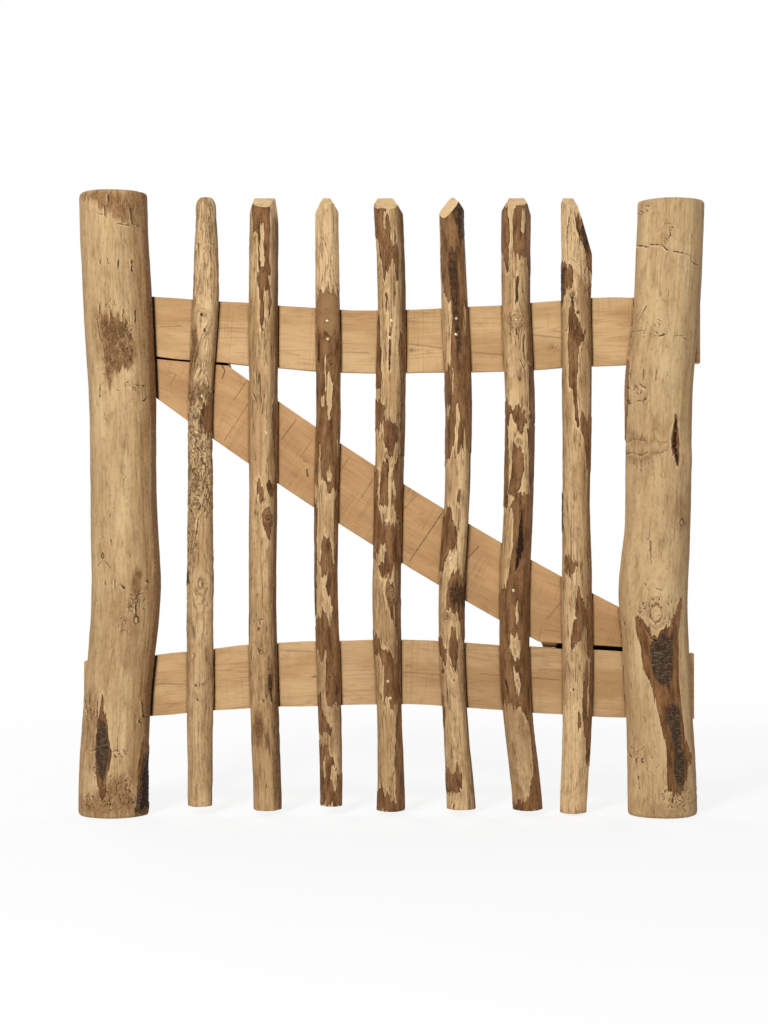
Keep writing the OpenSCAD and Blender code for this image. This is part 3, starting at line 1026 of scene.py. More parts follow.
    def scattered_nicks(self, surface: "Surface") -> list[Nick]:
        """Small marks of the peeling knife, strewn over the front and the sides."""
        dealer = np.random.default_rng(self.seed + NICK_SEED)
        low, high = surface.height.min() + 20, surface.height.max() - 20
        wide = 0.55 * max(-surface.beside.min(), surface.beside.max())
        nicks = []
        for _ in range(self.specks):
            z, x = dealer.uniform(low, high), dealer.uniform(-wide, wide)
            long = dealer.uniform(1.0, 9.0)
            lean = dealer.choice([0.1, 0.1, 0.8]) * long
            end = (z + long, x + dealer.uniform(-lean, lean))
            nicks.append(Nick(((z, x), end), dealer.uniform(0.5, 0.9), dealer.uniform(0.15, 0.5)))
        for low, high, left, right, count in self.flecked:
            for _ in range(count):
                z, x = dealer.uniform(low, high), dealer.uniform(left, right)
                end = (z + dealer.uniform(-4.5, 4.5), x + dealer.uniform(-2.5, 2.5))
                nicks.append(Nick(((z, x), end), dealer.uniform(0.7, 1.5), dealer.uniform(0.5, 1.0)))
        return nicks

    def roll(self, surface: "Surface", cuts: list["HeadCut"]) -> bpy.types.Object:
        """Rolls a grid round the log and closes its seam and its ends.

        Args:
            surface: The worked surface.
            cuts: The cuts through the head; the side ones are planed here.

        Returns:
            The piece, with its head still to be sawn.
        """
        skin = surface.skin
        foot, head = skin.heights[0], skin.heights[-1]
        rounding = self.end_round * MM
        near = np.clip(1 - np.minimum(skin.heights - foot, head - skin.heights) / rounding, 0, 1)
        inset = self.end_inset * MM * (1 - np.sqrt(1 - near**2))
        if self.foot_inset is not None:
            inset = np.where(skin.heights < 0.5, inset * self.foot_inset / self.end_inset, inset)
        self.skin = skin
        radii = skin.radii + surface.relief * MM - inset[:, None]
        spots = np.stack([
            skin.middle_x[:, None] + radii * np.sin(skin.directions),
            np.minimum(skin.middle_y - radii * np.cos(skin.directions), SEAT_Y),
            skin.heights[:, None] + np.zeros_like(radii),
        ], axis=-1)
        for cut in cuts:
            if cut.kind is Cut.PLANED:
                cut.plane_off(spots)
        names = ("bark", "stain_and_shade", "crack", "aside", "near_line", "age", "weather", "curl", "grain")
        piece = rolled(self.node + "_skin", spots, {name: getattr(surface, name) for name in names}, LOG_SHARP)
        for end in piece.data.polygons:
            end.material_index = int(len(end.vertices) > 4)
        return piece

    def saw_head(self, piece: bpy.types.Object, cuts: list["HeadCut"]) -> None:
        """Saws or splits the head where a cut isn't planed, and closes it."""
        for cut in cuts:
            if cut.kind is Cut.PLANED:
                continue
            with edit_mode(piece):
                bpy.ops.mesh.select_mode(type="FACE")
                bpy.ops.mesh.select_all(action="SELECT")
                bpy.ops.mesh.bisect(plane_co=cut.point, plane_no=cut.normal, use_fill=True, clear_outer=True)
            for face in piece.data.polygons:
                away = (face.center - Vector(cut.point)).dot(Vector(cut.normal).normalized())
                if abs(away) < ON_PLANE and face.normal.dot(Vector(cut.normal)) > 0.9:
                    face.material_index = 1 if cut.kind is Cut.SAWN else 0
                    face.use_smooth = False


class Cut(Enum):
    """How a cut through the head of a pale is made."""

    SAWN = "sawn across, showing end grain"
    SPLIT = "split along the grain"
    PLANED = "a flank moved in sideways"


@dataclass(frozen=True)
class HeadCut:
    """A plane through the head of a pale."""

    point: Triple
    normal: Triple
    kind: Cut = Cut.PLANED

    def holds(self, spot: Vector, normal: Vector) -> bool:
        """True if a spot on the solid lies on this cut."""
        mine = Vector(self.normal)
        return abs(normal.dot(mine)) > 0.999 and abs((spot - Vector(self.point)).dot(mine)) < 2e-4

    def eased(self, head: float, ease: float) -> "HeadCut":
        """The same cut, less steep where it faces the front, and as high at its top.

        Args:
            head: Height of the top of the pale.
            ease: Share of the slope that is kept.

        Returns:
            The new cut.
        """
        if self.kind is not Cut.SAWN:
            return self
        nx, ny, nz = self.normal
        x, y, z = self.point
        back = y - (head - z) * nz / ny
        flat = Vector((nx, ny * ease, nz)).normalized()
        return HeadCut((x, back, head), tuple(flat), self.kind)

    def plane_off(self, spots: np.ndarray) -> None:
        """Moves the spots that stand past the cut sideways on to it."""
        nx, ny, nz = self.normal
        x, y, z = np.moveaxis(spots - self.point, -1, 0)
        past = x * nx + y * ny + z * nz
        spots[..., 0] -= np.where(past > 0, past / nx, 0.0)


def head_cuts(solid: bpy.types.Object) -> list[HeadCut]:
    """Finds the flat cuts that point the head of a pale.

    Args:
        solid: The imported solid.

    Returns:
        One cut for each plane that slopes, near the top of the solid.
    """
    shape = bmesh.new()
    shape.from_mesh(solid.data)
    bmesh.ops.remove_doubles(shape, verts=shape.verts, dist=1e-6)
    top = max(v.co.z for v in shape.verts)
    groups: list[list] = []
    for face in shape.faces:
        middle = face.calc_center_median()
        if face.normal.z < 0.2 or face.normal.z > 0.97 or middle.z < top - 0.12:
            continue
        for group in groups:
            if group[0].dot(face.normal) > 0.9995 and abs((middle - group[1]).dot(group[0])) < 1e-4:
                group[2] += face.calc_area()
                break
        else:
            groups.append([face.normal.copy(), middle.copy(), face.calc_area()])
    shape.free()
    found = [g for g in groups if g[2] > 3e-5]
    return [HeadCut(tuple(at), tuple(way), Cut.SAWN if way.y < -0.3 else Cut.PLANED) for way, at, _ in found]


def carry_up(values: np.ndarray) -> np.ndarray:
    """Fills each missing value with the last one below it."""
    filled = values.copy()
    for row in range(1, len(filled)):
        missing = np.isnan(filled[row])
        filled[row, missing] = filled[row - 1, missing]
    return filled


def spread_heights(foot: float, head: float, gap: float, rounding: float) -> np.ndarray:
    """Heights of the rings: even steps, and finer ones where the ends are rounded."""
    fine = rounding * (1 - np.cos(np.linspace(0, math.pi / 2, 6)))
    steps = max(2, int((head - foot - 2 * rounding) / gap))
    even = np.linspace(foot + rounding, head - rounding, steps)
    return np.unique(np.concatenate([foot + fine, even, head - fine]))


def rolled(name: str, spots: np.ndarray, values: dict[str, np.ndarray], sharp: float) -> bpy.types.Object:
    """Rolls a grid round a piece of wood, and closes its seam and its ends.

    Args:
        name: Name of the piece.
        spots: The place of each vertex, ring by ring.
        values: The values to store at each vertex.
        sharp: Angle in degrees past which an edge stays sharp.

    Returns:
        The closed piece.
    """
    rows, columns = spots.shape[:2]
    bpy.ops.object.select_all(action="DESELECT")
    bpy.ops.mesh.primitive_grid_add(x_subdivisions=columns - 1, y_subdivisions=rows - 1, size=1.0)
    piece = bpy.context.object
    piece.name = piece.data.name = name
    mesh = piece.data
    flat = np.empty(len(mesh.vertices) * 3)
    mesh.vertices.foreach_get("co", flat)
    place = flat.reshape(-1, 3) + 0.5
    column = np.rint(place[:, 0] * (columns - 1)).astype(int)
    row = np.rint(place[:, 1] * (rows - 1)).astype(int)
    mesh.vertices.foreach_set("co", spots[row, column].ravel())
    for key, array in values.items():
        set_attribute(mesh, key, array[row, column])
    with edit_mode(piece):
        bpy.ops.mesh.select_all(action="SELECT")
        bpy.ops.mesh.remove_doubles(threshold=1e-6)
        bpy.ops.mesh.select_all(action="DESELECT")
        bpy.ops.mesh.select_mode(type="EDGE")
        bpy.ops.mesh.select_non_manifold(extend=False)
        bpy.ops.mesh.fill_holes(sides=0)
        bpy.ops.mesh.select_all(action="SELECT")
        bpy.ops.mesh.normals_make_consistent(inside=False)
    face_outward(piece)
    select_only(piece)
    bpy.ops.object.shade_smooth_by_angle(angle=math.radians(sharp))
    return piece


def mark_field(mark: Mark, tall: np.ndarray, aside: np.ndarray) -> np.ndarray:
    """Distance in mm to the edge of a mark, positive inside it.

    Args:
        mark: The mark.
        tall: Heights over the skin.
        aside: Places beside the log's axis over the skin.

    Returns:
        The distances, none past REACH.
    """
    rows = sorted(mark.rows)
    heights = [r[0] for r in rows]
    left = np.interp(tall, heights, [r[1] for r in rows])
    right = np.interp(tall, heights, [r[2] if len(r) > 2 else SIDE for r in rows])
    ends = 0.45 * np.minimum(tall - heights[0], heights[-1] - tall)
    return np.clip(np.minimum(np.minimum(aside - left, right - aside), ends), -REACH, REACH)


def line_field(
    height: np.ndarray, beside: np.ndarray, path: Sequence[tuple[float, float]]
) -> tuple[np.ndarray, np.ndarray]:
    """Measures how far each spot lies beside a path.

    Args:
        height: Heights in mm.
        beside: Places across in mm.
        path: Height and place of each corner of the path; one corner alone is a pit.

    Returns:
        The distance in mm, below 0 on one side of the path, and the part past its ends.
    """
    if len(path) == 1:
        return np.hypot(height - path[0][0], beside - path[0][1]), np.zeros_like(height)
    signed, over = np.full(height.shape, 1e3), np.zeros_like(height)
    for start, ((z0, x0), (z1, x1)) in enumerate(zip(path, path[1:])):
        long = max(math.hypot(z1 - z0, x1 - x0), 1e-6)
        uz, ux = (z1 - z0) / long, (x1 - x0) / long
        run = (height - z0) * uz + (beside - x0) * ux
        side = (beside - x0) * uz - (height - z0) * ux
        past = np.maximum(-run, 0) + np.maximum(run - long, 0)
        away = np.hypot(side, past)
        nearer = away < np.abs(signed)
        signed = np.where(nearer, np.where(side < 0, -away, away), signed)
        free = np.where(run < 0, start == 0, start == len(path) - 2)
        over = np.where(nearer, past * free, over)
    return signed, over


# ---- boards


@dataclass
class Board:
    """A rail or the brace: a fine skin round its solid, with worn edges and saw marks."""

    node: str
    finish: BoardFinish
    seed: int
    rows: int = 460
    face_columns: int = 40
    wear: float = 1.2
    knots: tuple[Triple, ...] = ()
    nicks: tuple[Nick, ...] = ()
    closes_on: tuple[str, ...] = ()
    dark_top: tuple[float, float] = (0.0, 0.0)
    dark_foot: tuple[float, float] = (0.0, 0.0)
    browned: tuple[float, float, float] = (0.0, 1.0, 0.0)

    def build(
        self, frame: dict, materials: dict[str, bpy.types.Material], logs: Sequence[Log]
    ) -> bpy.types.Object:
        """Builds and dresses the board.

        Args:
            materials: Built materials by name.
            logs: The finished logs that stand on the boards.

        Returns:
            The finished piece.
        """
        tree = solid_tree(frame["nodes"][self.node])
        low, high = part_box(self.node)
        xs = np.linspace(low[0], high[0], self.rows)
        edges = self.measure(tree, xs)
        for other in self.closes_on:
            self.close_gap(edges, self.measure(solid_tree(frame["nodes"][other]), xs))
        spots, values = self.shape(xs, edges)
        # painted shadow lines on the front face beside each log
        values["seam"] = np.where(spots[..., 1] < SEAT_Y + 3 * MM, painted_shadows(spots, logs), REACH)
        piece = rolled(self.node + "_skin", spots, values, BOARD_SHARP)
        piece.data.materials.append(materials[self.finish.name])
        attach(piece, BODY)
        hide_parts(self.node)
        return piece

    def measure(self, tree: BVHTree, xs: np.ndarray) -> np.ndarray:
        """Measures the board's lower and upper edge at the front and the back.

        Args:
            tree: Search tree of the solid.
            xs: Places along the gate.

        Returns:
            Four heights for each place: front low, front high, back low, back high.
        """
        inner = np.clip(xs, xs[0] + 1e-5, xs[-1] - 1e-5)
        result = []
        for x in inner:
            heights = []
            for y in (SEAT_Y + 1e-4, SEAT_Y + BOARD_T - 1e-4):
                for start, way in ((-1.0, 1.0), (2.0, -1.0)):
                    hit = tree.ray_cast(Vector((x, y, start)), Vector((0, 0, way)))[0]
                    heights.append(hit.z if hit else math.nan)
            result.append(heights)
        return carry_up(carry_up(np.array(result))[::-1])[::-1]

    def close_gap(self, edges: np.ndarray, other: np.ndarray) -> None:
        """Lets the back edge touch the next board where the two all but meet.

        Args:
            edges: The edges of this board, changed in place.
            other: The edges of the board above or below.
        """
        for mine, theirs, way in ((3, 2, 1), (2, 3, -1)):
            gap = way * (other[:, theirs] - edges[:, mine])
            meets = (gap > -1 * MM) & (gap < 6.5 * MM)
            edges[meets, mine] = other[meets, theirs] + way * 0.3 * MM

    def score(self, gx: np.ndarray, gz: np.ndarray) -> tuple[np.ndarray, np.ndarray]:
        """Scores the lines of the saw and of cracks across the face.

        Args:
            gx: Places along the gate in mm.
            gz: Heights in mm.

        Returns:
            The signed distance in mm to the nearest line, and how plain that line is.
        """
        aside, plain = np.full(gx.shape, 5.0), np.zeros(gx.shape)
        for nick in self.nicks:
            away, over = line_field(gz, gx, nick.path)
            near = smooth(-np.abs(away) / nick.width, -5, -3) * smooth(-over, -2.5, 0.3)
            near = near * min(1.0, 0.3 + nick.depth)
            aside = np.where(near > plain, away / nick.width, aside)
            plain = np.maximum(plain, near)
        return aside, plain

    def painted_gap_shade(self, gx: np.ndarray, up: np.ndarray, through: np.ndarray) -> np.ndarray:
        """Painted shade on the edges that stand in a narrow gap between two boards."""
        total = np.zeros(gx.shape)
        for edge, (start, end) in ((up > 0.999, self.dark_top), (up < 0.001, self.dark_foot)):
            if end > start:
                along = smooth(gx, start - 4, start + 1) * smooth(-gx, -end - 4, 1 - end)
                total = np.maximum(total, along * edge * smooth(through + 0.02, 0.0, 0.1))
        return total

    def shape(self, xs: np.ndarray, edges: np.ndarray) -> tuple[np.ndarray, dict[str, np.ndarray]]:
        """Works out every spot of the skin and the values that the material reads.

        Args:
            xs: Places along the gate.
            edges: What measure returned.

        Returns:
            The spots and the arrays that the material reads.
        """
        noise = SmoothNoise(self.seed)
        # the outline of the section: share of the height and of the thickness, corner by corner
        face = np.linspace(0, 1, self.face_columns)
        side = np.linspace(0, 1, 9)[1:-1]
        back = np.linspace(1, 0, 14)
        up = np.concatenate([face, np.ones(len(side)), back, np.zeros(len(side)), [0.0]])
        through = np.concatenate([np.zeros(len(face)), side, np.ones(len(back)), side[::-1], [0.0]])
        x = xs[:, None] + np.zeros(len(up))
        low = edges[:, 0:1] * (1 - through) + edges[:, 2:3] * through
        high = edges[:, 1:2] * (1 - through) + edges[:, 3:4] * through
        tall = high - low
        z = low + up * tall
        y = SEAT_Y + BOARD_T * through + 0 * z
        gx, gz = x / MM, z / MM
        # arrises worn away in places, most on the front ones
        top_edge = (up > 0.5) + 0 * z
        rough = 0.35 + 0.65 * smooth(noise.layers(gx / 26, 9.0 * top_edge, 3.0 + 4 * through, 2), -0.2, 0.6)
        near = np.minimum(np.minimum(up * tall, (1 - up) * tall) / MM, 3.0)
        near_front = np.minimum(np.minimum(through, 1 - through) * BOARD_T / MM, 3.0)
        reach = self.wear * rough * (1 + 0.8 * noise.at(gx / 2.5, 5 * top_edge, 1.0))
        hidden = self.painted_gap_shade(gx, np.where(up > 0.5, 1.0, 0.0), np.ones_like(up))
        corner = np.clip(reach - np.maximum(near, 0) - np.maximum(near_front, 0), 0, None) * (1 - hidden)
        toward = np.where(up > 0.5, -1.0, 1.0)
        z = z + toward * corner * 0.6 * MM
        y = y + np.where(through > 0.5, -1.0, 1.0) * corner * 0.6 * MM
        # saw marks and a slight hollow on the two faces
        face_side = np.where(through < 0.01, 1.0, 0.0) + np.where(through > 0.99, -1.0, 0.0)
        saw = 0.12 * noise.at(gx / 3.0, gz / 60, 8.0) + 0.2 * noise.at(gx / 30, gz / 40, 2.0)
        inner_y = np.clip(0.25 + saw, 0, 0.8)
        y = y + face_side * inner_y * MM * smooth(near, 0.5, 3.0)
        middle = 0.5 * (edges[:, 0] + edges[:, 1])
        slope = np.gradient(soften(middle, 6.0, 0), xs)
        tilt = np.arctan(slope)[:, None]
        run = np.concatenate([[0], np.cumsum(np.hypot(np.diff(xs), np.diff(middle)))])[:, None]
        beside = (z - middle[:, None]) * np.cos(tilt)
        along = run + (z - middle[:, None]) * np.sin(tilt)
        start, end, strength = self.browned
        stain_and_shade = strength * smooth(gx + 12 * noise.at(gx / 40, gz / 12, 6.0), start, end)
        crack, flow = np.zeros(x.shape), np.zeros(x.shape)
        for place, off, radius in self.knots:
            dx, dz = (gx - place) / 1.7, gz - off
            away = np.hypot(dx, dz) / radius
            stain_and_shade = np.maximum(stain_and_shade, np.exp(-((away / 1.2) ** 2)) * (0.6 + 0.4 * np.cos(8 * away)))
            crack = np.maximum(crack, 0.9 * np.exp(-((away / 0.4) ** 2)))
            flow += (beside - (off * MM - middle[:, None])) * np.exp(-((away / 3) ** 2)) * 0.8
        wander = 0.7 * noise.at(gz / 7, gx / 7, 4.0)
        aside, near_line = self.score(gx + wander, gz + wander)
        near_line = near_line * (through < 0.5)
        # painted shade on the edges in the narrow gaps between boards goes into crack
        crack = np.maximum(crack, self.painted_gap_shade(gx, up, through))
        grain = np.stack([along + 3.1 * self.seed, y, beside - flow], axis=-1)
        values = {"stain_and_shade": stain_and_shade, "crack": crack, "aside": aside, "near_line": near_line, "grain": grain}
        return np.stack([x, y, z], axis=-1), values


def painted_shadows(spots: np.ndarray, logs: Sequence[Log]) -> np.ndarray:
    """Measures how far the spots of a board lie past the painted shadow lines beside the logs.

    Args:
        spots: Places on the board in metres.
        logs: The finished logs.

    Returns:
        Millimetres past the nearest painted shadow line, and REACH far away.
    """
    nearest = np.full(spots.shape[:2], REACH)
    for log in logs:
        skin = log.skin
        across = skin.radii * np.sin(skin.directions)
        right = np.interp(spots[..., 2], skin.heights, skin.middle_x + across.max(axis=1))
        left = np.interp(spots[..., 2], skin.heights, skin.middle_x + across.min(axis=1))
        past = (spots[..., 0] - right) / MM - log.seam
        before = (left - spots[..., 0]) / MM + 1.0
        nearest = np.where((past > -log.seam - 2) & (past < nearest), past, nearest)
        nearest = np.where((before > 0.0) & (before < nearest), before, nearest)
    return nearest


# ---- screws


@dataclass
class Screws:
    """Small countersunk screw heads, driven into the faces of the logs and the rails."""

    name: str
    radius: float
    depth: float
    spots: tuple[tuple[float, float], ...]
    from_back: bool = False

    def build(self, targets: Sequence[bpy.types.Object], material: bpy.types.Material) -> bpy.types.Object:
        """Models one head, sets a copy of it at every spot and joins them.

        Args:
            targets: The pieces that the heads sit in.
            material: The finish of the heads.

        Returns:
            All heads as one piece.
        """
        trees = [solid_tree(t) for t in targets]
        pattern = self.one_head()
        heads = []
        way = Vector((0, -1, 0)) if self.from_back else Vector((0, 1, 0))
        for x, z in self.spots:
            start = Vector((x * MM, 0, z * MM)) - way * 0.5
            hits = [tree.ray_cast(start, way) for tree in trees]
            near = min((h for h in hits if h[0] is not None), key=lambda h: h[3])
            copy = pattern.copy()
            copy.data = pattern.data.copy()
            bpy.context.collection.objects.link(copy)
            normal = Vector(near[1])
            out = -way * 0.6 + normal * 0.4
            turn = out.to_track_quat("Z", "Y").to_matrix().to_4x4()
            turn.translation = near[0] - way * 0.2 * MM
            copy.data.transform(turn)
            heads.append(copy)
        bpy.data.objects.remove(pattern)
        bpy.ops.object.select_all(action="DESELECT")
        for head in heads:
            head.select_set(True)
        bpy.context.view_layer.objects.active = heads[0]
        bpy.ops.object.join()
        piece = bpy.context.object
        piece.name = piece.data.name = self.name
        piece.data.materials.append(material)
        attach(piece, BODY)
        return piece

    def one_head(self) -> bpy.types.Object:
        """Models a head: a low dome with a round recess, its shank sunk into the wood."""
        radius, depth = self.radius * MM, self.depth * MM
        bpy.ops.object.select_all(action="DESELECT")
        bpy.ops.mesh.primitive_cylinder_add(vertices=20, radius=radius, depth=2 * depth, location=(0, 0, -depth))
        head = bpy.context.object
        with edit_mode(head):
            bpy.ops.mesh.select_mode(type="FACE")
            bpy.ops.mesh.select_all(action="DESELECT")
        for face in head.data.polygons:
            face.select = face.normal.z > 0.9
        with edit_mode(head):
            bpy.ops.mesh.inset(thickness=radius * 0.3, depth=depth * 0.2)
            bpy.ops.mesh.inset(thickness=radius * 0.28, depth=depth * 0.05)
            bpy.ops.mesh.inset(thickness=radius * 0.06, depth=-depth * 0.6)
        bpy.ops.object.transform_apply(location=True, rotation=True, scale=True)
        bpy.ops.object.shade_smooth_by_angle(angle=math.radians(30))
        return head


# ---- studio


@dataclass
class Studio:
    """Camera, floor, light and surroundings."""

    eye: Triple = (-0.4528, -3.176, 0.495)
    aim: Triple = (-0.44, 0.0, 0.5)
    lens: float = 68.57
    floor_size: float = 30.0

    def build(self) -> bpy.types.Object:
        """Sets up the camera, the floor and the lamps.

        Returns:
            The floor.
        """
        data = bpy.data.cameras.new("camera")
        data.lens = self.lens
        data.sensor_width = 36.0
        data.clip_end = 60.0
        camera = bpy.data.objects.new("camera", data)
        camera.location = self.eye
        camera.rotation_euler = (math.radians(90), 0, 0)
        bpy.context.collection.objects.link(camera)
        bpy.context.scene.camera = camera
        bpy.ops.object.select_all(action="DESELECT")
        bpy.ops.mesh.primitive_plane_add(size=self.floor_size, location=(0, 0, 0))
        floor = bpy.context.object
        floor.name = floor.data.name = "floor"
        floor.data.materials.append(self.floor_material())
        self.lamp("key", (-1.75, -3.2, 3.1), 0.9, 118.0)
        self.lamp("front_fill", (0.6, -4.2, 1.2), 2.6, 20.0)
        self.lamp("back_left", (-2.4, 3.0, 2.6), 2.4, 60.0)
        self.lamp("back_right", (1.8, 2.8, 1.8), 2.4, 40.0)
        self.surroundings()
        bpy.context.scene.view_settings.view_transform = "Standard"
        return floor

    def lamp(self, name: str, place: Triple, size: float, power: float) -> None:
        """Adds one large soft lamp that faces the middle of the gate."""
        data = bpy.data.lights.new(name, "AREA")
        data.shape = "DISK"
        data.size = size
        data.energy = power
        lamp = bpy.data.objects.new(name, data)
        lamp.location = place
        way = Vector(self.aim) - Vector(place)
        lamp.rotation_euler = way.to_track_quat("-Z", "Y").to_euler()
        bpy.context.collection.objects.link(lamp)

    def floor_material(self) -> bpy.types.Material:
        """Plain white floor that keeps a faint shadow."""
        s = Sheet("pale_floor")
        coords = s.tree.nodes.new("ShaderNodeTexCoord").outputs["Object"]
        speck = s.noise(s.stretched(coords, (3, 3, 3)))
        colour = s.mixed(speck, (0.86, 0.86, 0.86), (0.9, 0.9, 0.9))
        s.finish(colour, 0.9, specular=0.0)
        glow = s.add("ShaderNodeEmission", {"Strength": 1.0})
        share = s.times(s.plain_rays(), s.step(s.length(coords), 0.7, 3.0, 0.8, 1.0))
        s.feed(s.surface, s.add("ShaderNodeMixShader", {0: share, 1: s.shader.outputs["BSDF"], 2: glow}))
        return s.material

    def surroundings(self) -> None:
        """White surroundings that light the gate more softly than they look."""
        world = bpy.data.worlds.new("surroundings")
        bpy.context.scene.world = world
        world.use_nodes = True
        n = Nodes(world.node_tree, "ShaderNodeOutputWorld")
        shade = n.add("ShaderNodeBackground", {"Color": (0.96, 0.98, 1.0), "Strength": 0.34})
        seen = n.add("ShaderNodeBackground", {"Color": (1.0, 1.0, 1.0), "Strength": 1.0})
        n.feed(n.surface, n.add("ShaderNodeMixShader", {0: n.plain_rays(), 1: shade, 2: seen}))


# ---- the gate's pieces

POLE_SPACING, POLE_TO_PALE = 889.0, 135.0  # between the axes
CLOSING_AXIS, HANGING_AXIS = -POLE_SPACING, 0.0
PALE_PITCH = (POLE_SPACING - 2 * POLE_TO_PALE) / 6
PALE_AXES = tuple(CLOSING_AXIS + POLE_TO_PALE + i * PALE_PITCH for i in range(7))
RIPPLED, WORMY, SPLIT, CRUMBLY = Ground


def pole(node: str, axis: float, seed: int, **details: object) -> Log:
    """One of the two thick poles."""
    return Log(node=node, axis=axis, finish=POLE_FINISH, end_finish=POLE_END, slot="peeled_pole", seed=seed,
               columns=160, ring_gap=2.2, end_round=7.0, end_inset=5.0, lump=0.5, ridge=0.14, facet=0.8,
               **details)


def pale(number: int, seed: int, **details: object) -> Log:
    """One of the seven cleft pales, counted from the closing side."""
    details = {"end_round": 2.0, "end_inset": 1.5, "pointed": True, **details}
    return Log(node=f"pale_{number}", axis=PALE_AXES[number - 1], finish=PALE_FINISH, end_finish=PALE_END,
               slot="cleft_pale", seed=seed, columns=76, ring_gap=2.1, **details)


def nicks(*rows: Row) -> tuple[Nick, ...]:
    """Nicks from rows of the height and place of each corner, then width and depth."""
    return tuple(Nick(tuple(zip(row[:-2:2], row[1:-2:2])), row[-2], row[-1]) for row in rows)


def knots(*rows: Row) -> tuple[Knot, ...]:
    """Knots from rows of height, place, radius, heart, tall and ring."""
    return tuple(Knot(*row) for row in rows)


def stretches(*rows: tuple) -> tuple[Stretch, ...]:
    """Stretches from rows of ground, low, high, strength, left edge, right edge and lean."""
    return tuple(Stretch(*row) for row in rows)


def marker(kind: Kind) -> Callable[..., Mark]:
    """A maker of marks of one kind from rows of height, left edge and right edge."""
    return lambda *rows: Mark(kind, rows)


def stained(strength: float, *rows: Row) -> Mark:
    """Brown stain on the peeled wood, so strong."""
    return Mark(Kind.STAIN, rows, strength)


